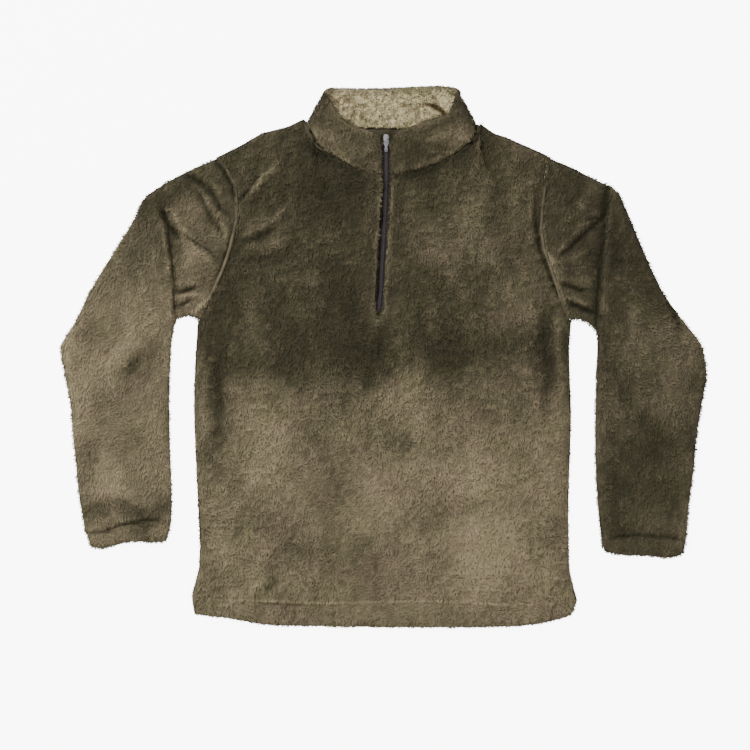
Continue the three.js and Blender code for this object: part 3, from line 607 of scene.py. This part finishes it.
# a fold: its line (mm), rise and width, then its painted shade (below 0) or painted highlight (above 0) and
# how far that reaches on its left and right
hemStitch = [
    (-254, -367), (-164, -370), (-89, -373), (29, -370), (124, -371), (173, -376), (256, -373), (280, -361),
]
frontFolds = [
    ([(-218, 232), (-203, 245), (-194, 260), (-188, 270)], -2.2, 5, -0.34, 2.5, 2),
    ([(-206, 236), (-192, 252), (-180, 268), (-170, 275), (-157, 289)], 2.4, 6, 0.30, 4, 4),
    ([(-214, 176), (-191, 189), (-176, 195), (-158, 210), (-140, 226)], 1.8, 7, 0.18, 6, 3),
    ([(-210, 172), (-188, 180), (-164, 190)], -1.8, 6, -0.26, 3, 5),
    ([(-208, 158), (-170, 165), (-140, 176)], 1.4, 8, 0.12, 7, 5),
    ([(-210, 145), (-175, 146), (-146, 148)], -1.4, 8, -0.18, 4, 7),
    ([(-216, 205), (-222, 180), (-231, 150), (-252, 92)], 0.6, 4, 0.12, 1.4, 4),
    ([(-120, 250), (-90, 236), (-70, 214)], -1.4, 8, -0.10, 6, 6),
    ([(-150, 120), (-110, 110), (-70, 118)], 1.2, 9, 0.08, 8, 6),
    ([(228, 250), (227, 219), (229, 186), (236, 154), (246, 128), (262, 88)], -1.2, 3, -0.28, 1.4, 2.5),
    ([(220, 240), (218, 200), (222, 160)], 1.4, 5, 0.12, 4, 4),
    ([(143, 348), (148, 321), (155, 273)], -2.0, 5, -0.22, 9, 2.5),
    ([(140, 348), (144, 321), (150, 280)], 1.4, 5, 0.12, 3, 5),
    ([(-246, 60), (-243, 0), (-246, -70), (-250, -160)], -1.6, 9, -0.14, 9, 12),
    ([(236, 66), (244, 20), (246, -40), (240, -100)], -1.6, 9, -0.16, 10, 8),
    ([(258, 60), (262, 0), (266, -60)], 1.4, 8, 0.10, 5, 5),
    ([(-40, 200), (-46, 140), (-50, 60)], -1.0, 14, -0.06, 12, 12),
    ([(-4, 40), (-10, 0), (-30, -60)], -1.6, 12, -0.08, 12, 12),
    ([(-190, -200), (-150, -270), (-140, -320)], -1.4, 18, -0.07, 16, 10),
    ([(60, -250), (120, -230), (190, -212)], -1.4, 18, -0.06, 12, 12),
    (hemStitch, -1.4, 3, 0.0, 2.2, 2.2),
    # a painted highlight along the hem, 3 mm above the stitch
    ([(x, y + 3) for x, y in hemStitch], 0.6, 2, 0.24, 1.3, 1.3),
    ([(-176, -330), (-188, -344), (-202, -358)], 1.6, 6, 0.13, 5, 5),
    ([(-136, -324), (-148, -338), (-160, -354)], 1.6, 6, 0.13, 5, 5),
    ([(-160, -334), (-168, -344), (-176, -354)], -1.4, 5, -0.14, 4, 4),
    ([(-120, -338), (-132, -356)], 1.2, 5, 0.10, 4, 4),
    ([(-284, -339), (-290, -350)], -2.0, 4, -0.3, 3, 3),
    ([(-121, 336), (-101, 304), (-62, 284), (-32, 270)], -1.0, 4, -0.22, 2.5, 8),
    ([(13, 270), (41, 269), (79, 280), (105, 292), (131, 310), (146, 330)], -1.0, 4, -0.15, 2.5, 7),
    ([(-16, 54), (-14, 70), (-11, 102), (-9, 144), (-6, 201), (-4, 240), (-4, 266)], 0.8, 5, 0.26, 4, 3),
    ([(-3, 54), (0, 70), (3, 102), (5, 144), (9, 201), (11, 240), (11, 266)], 0.8, 5, 0.24, 3, 4),
    ([(-12, 44), (-9, 52), (-4, 46)], 0.8, 5, 0.22, 4, 4),
]
leftFolds = [
    # the pleat: painted shadow on the body side, under the lower sleeve's edge
    ([(-330, 222), (-326, 206), (-320, 195), (-313, 186), (-307, 179)], -3.0, 5, -0.75, 2.2, 3.2),
    ([(-323, 190), (-322, 174), (-316, 144), (-314, 114), (-313, 60)], -1.0, 4, -0.45, 1.4, 0.8),
    ([(-330, 200), (-328, 174), (-321, 144), (-319, 114), (-318, 60)], 1.0, 4, 0.16, 4, 3),
    ([(-300, 273), (-286, 268), (-265, 254), (-251, 237), (-245, 221), (-231, 211)], -2.6, 6, -0.40, 2, 4.5),
    ([(-296, 282), (-276, 272), (-256, 256), (-240, 238)], 1.6, 6, 0.14, 5, 3),
    ([(-283, 257), (-272, 245), (-262, 230), (-250, 215), (-236, 206)], 2.0, 6, 0.20, 3, 3),
    ([(-280, 252), (-271, 234), (-260, 210), (-249, 195), (-242, 183)], -2.0, 5, -0.26, 2, 4),
    ([(-244, 200), (-237, 190), (-235, 182), (-239, 172)], 1.0, 4, 0.18, 3, 3),
    ([(-317, 219), (-305, 195), (-290, 181)], 2.2, 5, 0.20, 3, 3),
    ([(-300, 183), (-278, 168), (-260, 157), (-248, 144)], -1.6, 4, -0.26, 2, 2.4),
    ([(-284, 160), (-266, 148), (-254, 134)], 1.4, 5, 0.12, 4, 4),
    ([(-247, 296), (-235, 282), (-230, 270), (-221, 258), (-218, 237), (-221, 222)], 0.8, 3, 0.24, 1.2, 1.4),
    ([(-252, 292), (-239, 278), (-234, 268), (-226, 254), (-223, 236)], -1.6, 4, -0.34, 1.6, 3),
    ([(-221, 180), (-227, 162), (-235, 138), (-245, 114), (-254, 93)], 1.0, 3, 0.30, 1.2, 1.4),
    ([(-226, 178), (-232, 160), (-240, 136), (-250, 112)], -1.4, 4, -0.24, 3, 1.6),
    ([(-313, 94), (-296, 97), (-280, 102)], -2.4, 5, -0.46, 3, 2),
    ([(-312, 108), (-296, 110), (-278, 108)], 1.6, 5, 0.12, 4, 3),
    ([(-311, 87), (-290, 92), (-270, 90)], 1.6, 4, 0.22, 3, 3),
    ([(-311, 73), (-299, 78), (-287, 86)], -2.0, 4, -0.40, 3, 2),
    ([(-286, 63), (-272, 75), (-261, 85)], 1.4, 4, 0.34, 3, 3),
    ([(-350, 266), (-330, 272), (-306, 288)], -1.2, 5, -0.16, 5, 4),
    ([(-466, 50), (-474, 10), (-466, -52)], 1.4, 8, 0.14, 9, 4),
    # painted highlight along the left elbow's edge
    ([(-480, 46), (-486, 12), (-474, -40), (-470, -60)], 0, 8, 0.40, 9, 9),
    ([(-396, -30), (-360, -4), (-336, 8)], -1.4, 10, -0.10, 8, 8),
    ([(-447, -265), (-416, -262), (-394, -254), (-362, -246), (-340, -244), (-319, -247)],
     -1.8, 3, -0.28, 2.2, 2.2),
]
rightFolds = [
    # the pleat: painted shadow on the body side, under the lower sleeve's edge
    ([(338, 258), (334, 228), (329, 207)], -3.0, 5, -0.75, 1.6, 4.5),
    ([(331, 210), (328, 174), (325, 144), (322, 114), (319, 60), (318, 34)], -1.2, 4, -0.45, 0.8, 3.5),
    ([(338, 215), (334, 174), (331, 144), (328, 114), (325, 66)], 1.0, 4, 0.16, 4, 3),
    ([(334, 222), (307, 204), (283, 180), (262, 158)], 2.2, 5, 0.18, 3, 4),
    ([(336, 214), (318, 200), (289, 172), (262, 149)], -2.4, 5, -0.34, 4.5, 1.8),
    ([(303, 205), (311, 206), (319, 209)], -2.4, 3, -0.5, 2, 2),
    ([(290, 244), (284, 232), (276, 220)], -1.6, 7, -0.24, 6, 6),
    ([(293, 228), (301, 218)], 1.6, 5, 0.14, 5, 5),
    ([(247, 151), (256, 138)], 1.6, 5, 0.20, 4, 5),
    ([(310, 160), (290, 152), (272, 140)], 1.6, 6, 0.12, 5, 5),
    ([(265, 107), (283, 103), (295, 97), (302, 102)], -2.4, 4, -0.50, 2.5, 2.5),
    ([(276, 112), (300, 108), (316, 110)], 1.6, 5, 0.12, 5, 4),
    ([(274, 88), (292, 83), (308, 76)], 1.6, 4, 0.24, 3, 3),
    ([(277, 80), (295, 73), (317, 63)], -2.4, 4, -0.60, 2.5, 3),
    ([(236, 250), (236, 219), (239, 183), (246, 152), (252, 133), (260, 111), (269, 84), (280, 56)],
     1.2, 3, 0.24, 2, 1.2),
    ([(424, 90), (434, 68), (444, 40)], -2.4, 6, -0.26, 5, 4),
    ([(432, 92), (442, 70), (452, 44)], 1.6, 6, 0.12, 4, 4),
    ([(344, -40), (370, -80), (400, -120)], -1.4, 14, -0.08, 12, 8),
    ([(340, -271), (376, -268), (401, -269), (428, -271), (452, -276)], -1.8, 3, -0.26, 2.2, 2.2),
]
collarFolds = [
    ([(-82, 380), (-74, 362), (-55, 344), (-38, 338), (-20, 335)], 0.4, 4, 0.10, 3, 4),
    ([(13, 334), (32, 338), (62, 346), (86, 354), (104, 362)], 0.4, 4, 0.10, 4, 3),
    ([(-108, 330), (-88, 306), (-56, 288), (-30, 279)], 0.4, 5, 0.12, 6, 2),
    ([(16, 279), (44, 279), (80, 290), (106, 303), (130, 320)], 0.4, 5, 0.14, 6, 2),
    ([(60, 324), (84, 326), (110, 336)], 0.3, 8, 0.14, 8, 6),
    # painted shadow: a dark V in the neck opening, either side of the slider, where one looks into the neck
    ([(-6, 338), (-1, 331), (1, 322)], -1.6, 3, -0.9, 1.5, 4),
    ([(13, 338), (9, 331), (7, 322)], -1.6, 3, -0.9, 4, 1.5),
]
liningFolds = [
    # painted shade in the lining's crease, and a painted highlight on the flap beside it
    ([(66, 377), (76, 373), (84, 369), (90, 365), (89, 355)], -2.4, 3, -1.1, 2.2, 2.2),
    ([(88, 388), (94, 378), (97, 368)], 1.0, 5, 0.34, 4, 4),
    ([(-80, 336), (-40, 352), (20, 350)], -1.0, 14, -0.10, 10, 10),
    ([(40, 392), (70, 388), (92, 384)], -1.0, 6, -0.14, 5, 5),
]
pieces = {
    "front": {
        **fleecePile, "levels": 2, "takenIn": 2.6 * mm, "seed": 11,
        "patches": bodyPatches, "ground": bodyGround, "folds": frontFolds,
    },
    "back": {
        **fleecePile, "levels": 1, "takenIn": 2.0 * mm, "seed": 12, "height": 2.6 * mm,
        "patches": bodyPatches, "ground": bodyGround, "folds": [],
    },
    "sleeve_left": {
        **fleecePile, "levels": 2, "takenIn": 1.7 * mm, "seed": 13, "flow": (-0.25, -1, 0),
        "patches": leftPatches, "ground": leftGround, "folds": leftFolds,
    },
    "sleeve_right": {
        **fleecePile, "levels": 2, "takenIn": 1.7 * mm, "seed": 14, "flow": (0.25, -1, 0),
        "patches": rightPatches, "ground": rightGround, "folds": rightFolds,
    },
    "collar": {
        **fleecePile, "levels": 2, "takenIn": 2.2 * mm, "seed": 15, "height": 3.4 * mm,
        "reach": 4.4 * mm, "stray": 0.5,
        "patches": collarPatches, "ground": evenGround(0.33), "folds": collarFolds,
    },
    "collar_lining": {
        **fleecePile, "levels": 2, "takenIn": 1.4 * mm, "seed": 16, "flow": (0, -1, 0.1),
        "height": 2.6 * mm, "reach": 2.8 * mm, "width": 1.6 * mm, "curl": 1.4 * mm,
        "stray": 2.0, "grain": 0.16,
        "curls": 6 * mm, "gather": 1.3 * mm, "curlPaintedShade": 0.34, "combed": 0.12,
        "mottle": [(30, 0.06), (12, 0.08), (6, 0.2), (3.5, 0.36)], "streak": 1.0,
        "patches": [], "ground": evenGround(0.8), "folds": liningFolds,
        "finish": liningGround, "pileFinish": liningFinish,
    },
}

rimPile = {
    **pieces["collar"], "seed": 17, "edge": 0.8, "height": 2.6 * mm, "reach": 3.4 * mm,
    "ground": evenGround(0.85),
}

shells = {node: shellFrom(node + "_cloth", node, spec) for node, spec in pieces.items()}
print("cloth shells made")

piles = {
    "front": [
        growPile("front_pile_upper", shells["front"], pieces["front"], 44000, lambda p: p[:, 1] > 60 * mm),
        growPile("front_pile_middle", shells["front"], pieces["front"], 44000,
                 lambda p: (p[:, 1] <= 60 * mm) & (p[:, 1] > -170 * mm)),
        growPile("front_pile_lower", shells["front"], pieces["front"], 46000, lambda p: p[:, 1] <= -170 * mm),
    ],
    "back": [growPile("back_pile", shells["back"], pieces["back"], 13000)],
    "sleeve_left": [growPile("sleeve_left_pile", shells["sleeve_left"], pieces["sleeve_left"], 40500)],
    "sleeve_right": [growPile("sleeve_right_pile", shells["sleeve_right"], pieces["sleeve_right"], 40500)],
    "collar": [
        growPile("collar_pile", shells["collar"], pieces["collar"], 13000),
        growPile("collar_rim_pile", shells["collar"], rimPile, 3600,
                 lambda p: (p[:, 1] > 393 * mm) & (p[:, 2] > 7.5 * mm)),
    ],
    "collar_lining": [
        growPile("collar_lining_pile", shells["collar_lining"], pieces["collar_lining"], 14000),
    ],
}
print("pile grown")

# seam allowances inside: a soft cord of turned edges under each armhole seam

seam = {
    "width": 4.8 * mm, "height": 5.6 * mm, "worn": 0.2, "sway": 0.7 * mm,
    # the cords' tone is painted shade along each seam: darkest at the neck and under the collar, lighter
    # toward the armholes' lower ends
    "tone": {  # at its upper and its lower end
        "armhole_seam_left": (0.16, 0.42), "armhole_seam_right": (0.02, 0.44), "neck_seam": (0.0, 0.0),
        "collar_seam_left": (0.06, 0.06), "collar_seam_right": (0.06, 0.06),
    },
}
seams = {  # x, y and the cord's own height (mm)
    "armhole_seam_left": [
        (-247, 296, 8.5), (-232, 275, 9), (-222, 255, 9), (-219, 232, 9.5), (-220, 205, 13),
        (-225, 180, 13.6), (-234, 147, 13.6), (-244, 121, 13.4), (-255, 98, 12), (-270, 68, 8), (-276, 57, 7),
    ],
    "armhole_seam_right": [
        (248, 298, 8.5), (243, 262, 11.5), (238, 222, 12.6), (236, 190, 13), (240, 159, 13.2), (250, 132, 13),
        (258, 108, 12), (266, 84, 10), (277, 56, 7),
    ],
    "collar_seam_left": [
        (-116, 349, 10), (-116, 341, 12.5), (-108, 326, 14.5), (-98, 312, 14), (-78, 299, 13),
        (-59, 290, 12.4), (-32, 277, 12), (-8, 274, 12),
    ],
    "collar_seam_right": [
        (15, 274, 12), (40, 275, 12), (77, 286, 12.4), (103, 297.5, 13), (122, 311, 14), (131, 318, 14.5),
        (140, 331, 13), (142, 346, 10),
    ],
    "neck_seam": [
        (-100, 351, 4), (-58, 344, 4), (-28, 341, 4), (4, 340, 4), (36, 341, 4), (70, 343, 4), (118, 350, 4),
    ],
}


def seamCord(name, line):
    points = [Vector(p) * mm for p in line]
    headings = [math.atan2((b - a).y, (b - a).x) for a, b in zip(points, points[1:])]
    headings = headings[:1] + [(a + b) / 2 for a, b in zip(headings, headings[1:])] + headings[-1:]
    work = bmesh.new()
    ring = bmesh.ops.create_circle(work, cap_ends=True, segments=10, radius=0.5)["verts"]
    bmesh.ops.rotate(work, verts=ring, cent=(0, 0, 0), matrix=Matrix.Rotation(math.radians(90), 3, "Y"))
    bmesh.ops.scale(work, verts=ring, vec=(1, seam["width"], seam["height"]))
    bmesh.ops.rotate(work, verts=ring, cent=(0, 0, 0), matrix=Matrix.Rotation(headings[0], 3, "Z"))
    bmesh.ops.translate(work, verts=ring, vec=points[0])
    end = list(work.faces)
    for i in range(1, len(points)):
        grown = bmesh.ops.extrude_face_region(work, geom=end)
        end = [g for g in grown["geom"] if isinstance(g, bmesh.types.BMFace)]
        ring = list(end[0].verts)
        bmesh.ops.translate(work, verts=ring, vec=points[i] - points[i - 1])
        turn = Matrix.Rotation(headings[i] - headings[i - 1], 3, "Z")
        bmesh.ops.rotate(work, verts=ring, cent=points[i], matrix=turn)
    stretches = [e for e in work.edges if e.calc_length() > 8 * mm]
    bmesh.ops.subdivide_edges(work, edges=stretches, cuts=5)
    bmesh.ops.recalc_face_normals(work, faces=work.faces)
    mesh = bpy.data.meshes.new(name)
    work.to_mesh(mesh)
    work.free()
    mesh.shade_smooth()
    mesh.materials.append(seamFinish)
    points = readCo(mesh)
    tone = np.interp(points[:, 1], (points[:, 1].min(), points[:, 1].max()), seam["tone"][name][::-1])
    pointAttribute(mesh, "tone", tone + seam["worn"] * softNoise(points, 7 * mm, 41))
    points[:, 0] += seam["sway"] * softNoise(points, 14 * mm, 42)
    points[:, 2] += seam["sway"] * softNoise(points, 9 * mm, 43)
    mesh.vertices.foreach_set("co", points.ravel())
    mesh.update()
    made = addObject(name, mesh)
    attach(made, "garment")


seamFinish = groundPaint("seamEdge", cloth["shadeDark"], cloth["shadeLight"])
for seamName, seamLine in seams.items():
    seamCord(seamName, seamLine)
print("seams laid")

cuts = {  # flat width, length and area of each piece as it was cut (m, m2), and what it lies on
    "front": (0.577, 0.764, 0.385, ["back_cloth"]),
    "back": (0.577, 0.764, 0.400, []),
    "sleeve_left": (0.40, 0.56, 0.178, []),
    "sleeve_right": (0.40, 0.56, 0.176, []),
    "collar": (0.52, 0.085, 0.036, []),
    "collar_lining": (0.50, 0.066, 0.030, ["collar_cloth"]),
}
for node, (width, length, area, under) in cuts.items():
    shell = shells[node]
    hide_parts(node)
    for made in [shell, *piles[node]]:
        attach(made, "garment")


# zip

coil = {
    "pitch": 1.45 * mm, "length": 2.8 * mm, "radius": 0.5 * mm, "low": 58 * mm, "high": 322 * mm,
    "tape": linear(50, 43, 44), "thread": linear(70, 62, 64), "metal": linear(184, 184, 190),
}
zipLine = [
    (-9.5, 54), (-7, 70), (-4, 102), (-2, 144), (1.5, 201), (3.4, 240), (4.2, 273), (4.1, 300), (3.8, 324),
]


def tapePaint():
    paint = Paint("zipTape", 0.85)
    weave = paint.add("ShaderNodeTexWave", {"wave_type": "BANDS", "bands_direction": "DIAGONAL"},
                      {"Vector": paint.place(), "Scale": 900.0, "Distortion": 0.6})
    colour = paint.mixColour(weave, tuple(0.7 * c for c in coil["tape"][:3]) + (1,), coil["tape"])
    return paint.feed(colour=colour, normal=paint.bump(weave, 0.5, 0.2 * mm))


def coilPaint():
    paint = Paint("zipCoil", 0.42)
    wear = paint.noise(700.0)
    colour = paint.mixColour(wear, tuple(0.75 * c for c in coil["thread"][:3]) + (1,), coil["thread"])
    return paint.feed(colour=colour, roughness=0.3 + 0.3 * wear)


def metalPaint():
    paint = Paint("satinMetal", 0.3, 1.0)
    brushed = paint.add("ShaderNodeMapping", None, {"Vector": paint.place(), "Scale": (300, 3000, 300)})
    grain = paint.add("ShaderNodeTexNoise", None, {"Vector": brushed, "Scale": 1.0, "Detail": 2.0})
    colour = paint.mixColour(grain, tuple(0.82 * c for c in coil["metal"][:3]) + (1,), coil["metal"])
    return paint.feed(colour=colour, roughness=0.2 + 0.25 * grain, normal=paint.bump(grain, 0.15, 0.05 * mm))


def coilTeeth(name, node, side):
    # one rounded bar for each turn of the coil, across the tape's raised inner edge
    work = bmesh.new()
    made = bmesh.ops.create_cone(work, cap_ends=True, segments=6, radius1=coil["radius"],
                                 radius2=coil["radius"], depth=coil["length"])
    caps = [f for f in work.faces if len(f.verts) == 6]
    bmesh.ops.bevel(work, geom=[e for f in caps for e in f.edges], offset=0.2 * mm, offset_type="OFFSET",
                    segments=1, profile=0.5, affect="EDGES", material=-1)
    bmesh.ops.rotate(work, verts=work.verts, cent=(0, 0, 0), matrix=Matrix.Rotation(math.radians(90), 3, "Y"))
    bmesh.ops.triangulate(work, faces=work.faces)
    bar = np.array([v.co for v in work.verts])
    faces = np.array([[v.index for v in f.verts] for f in work.faces])
    work.free()
    offset = 0.25 if side > 0 else -0.25
    levels = np.arange(coil["low"], coil["high"], coil["pitch"]) + offset * coil["pitch"]
    spots = []
    for y in levels:
        x = np.interp(y, [p[1] * mm for p in zipLine], [p[0] * mm for p in zipLine])
        x += side * (0.5 * coil["length"] - 0.1 * mm)
        hit = trees[node].ray_cast(Vector((x + side * 0.2 * mm, y, 60 * mm)), Vector((0, 0, -1)))[0]
        spots.append((x, y, hit.z - 0.28 * mm))
    spots = np.array(spots)
    points = (bar[None] + spots[:, None]).reshape(-1, 3)
    triangles = (faces[None] + np.arange(len(spots))[:, None, None] * len(bar)).reshape(-1, 3)
    mesh = bpy.data.meshes.new(name)
    mesh.from_pydata(points.tolist(), [], triangles.tolist())
    mesh.shade_smooth()
    mesh.materials.append(coilFinish)
    made = addObject(name, mesh)
    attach(made, "garment")
    print(name, len(triangles), "triangles")


tapeFinish, coilFinish, metalFinish = tapePaint(), coilPaint(), metalPaint()
for node in ("zip_tape_left", "zip_tape_right"):
    nodes[node].data.materials.clear()
    nodes[node].data.materials.append(tapeFinish)
coilTeeth("zip_coil_left", "zip_tape_left", -1)
coilTeeth("zip_coil_right", "zip_tape_right", 1)


def finishedMetal(name, node, body):
    # the CAD piece with its edges rounded over
    work = bmesh.new()
    work.from_mesh(nodes[node].data)
    bmesh.ops.remove_doubles(work, verts=work.verts, dist=0.005 * mm)
    bmesh.ops.dissolve_limit(work, angle_limit=math.radians(2), verts=work.verts, edges=work.edges)
    sharp = [e for e in work.edges if e.is_manifold and e.calc_face_angle(0) > math.radians(30)]
    bmesh.ops.bevel(work, geom=sharp, offset=0.22 * mm, offset_type="OFFSET", segments=3, profile=0.5,
                    affect="EDGES", clamp_overlap=True, material=-1)
    mesh = bpy.data.meshes.new(name)
    work.to_mesh(mesh)
    work.free()
    mesh.shade_smooth()
    mesh.materials.append(metalFinish)
    made = addObject(name, mesh)
    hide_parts(node)
    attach(made, body)
    return made


def pierce(made, holes):
    # cuts ovals straight down through a piece: x, y, across, along (m)
    for x, y, across, along in holes:
        work = bmesh.new()
        bmesh.ops.create_cone(work, cap_ends=True, segments=24, radius1=0.5, radius2=0.5, depth=1.0)
        bmesh.ops.scale(work, verts=work.verts, vec=(across, along, 20 * mm))
        bmesh.ops.translate(work, verts=work.verts, vec=(x, y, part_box("pull_tab")[1][2]))
        mesh = bpy.data.meshes.new("hole")
        work.to_mesh(mesh)
        work.free()
        cutter = addObject("hole", mesh)
        cut = made.modifiers.new("cut", "BOOLEAN")
        cut.operation, cut.object, cut.solver = "DIFFERENCE", cutter, "EXACT"
        bpy.context.view_layer.update()
        done = made.evaluated_get(bpy.context.evaluated_depsgraph_get())
        fresh = bpy.data.meshes.new_from_object(done)
        made.modifiers.clear()
        made.data = fresh
        bpy.data.objects.remove(cutter)


finishedMetal("zip_slider", "slider", "garment")
pullTab = finishedMetal("zip_pull", "pull_tab", "pull")
pullLow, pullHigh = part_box("pull_tab")
pullX, waist = (pullLow[0] + pullHigh[0]) / 2, pullLow[1] + 7.0 * mm
pierce(pullTab, [
    (pullX, pullLow[1] + 2.7 * mm, 2.6 * mm, 2.4 * mm),
    (pullX - 4.1 * mm, waist, 5.0 * mm, 6.4 * mm), (pullX + 4.1 * mm, waist, 5.0 * mm, 6.4 * mm),
])
print("zip made")


# floor and light

room = {"glow": 8.0, "keyPower": 115, "keySize": 2.2, "sky": 0.66}
work = bmesh.new()
bmesh.ops.create_grid(work, x_segments=1, y_segments=1, size=6)
floorMesh = bpy.data.meshes.new("floor")
work.to_mesh(floorMesh)
work.free()
floorPaint = Paint("floor", 0.9)
floorPaint.shader.inputs["Base Color"].default_value = (0.9, 0.9, 0.9, 1)
floorPaint.shader.inputs["Emission Color"].default_value = (1, 1, 1, 1)
floorPaint.shader.inputs["Emission Strength"].default_value = room["glow"]
floorMesh.materials.append(floorPaint.material)
floor = addObject("floor", floorMesh)
floor.visible_diffuse = floor.visible_glossy = False

world = bpy.data.worlds.new("sky")
world.use_nodes = True
world.node_tree.nodes["Background"].inputs["Color"].default_value = (1, 1, 1, 1)
world.node_tree.nodes["Background"].inputs["Strength"].default_value = room["sky"]
bpy.context.scene.world = world

key = bpy.data.lights.new("key", "AREA")
key.shape, key.size, key.energy = "SQUARE", room["keySize"], room["keyPower"]
lamp = bpy.data.objects.new("key", key)
lamp.location = (-1.6, 1.9, 2.6)
lamp.rotation_euler = (Vector((0, 0, 0)) - lamp.location).to_track_quat("-Z", "Y").to_euler()
bpy.context.scene.collection.objects.link(lamp)
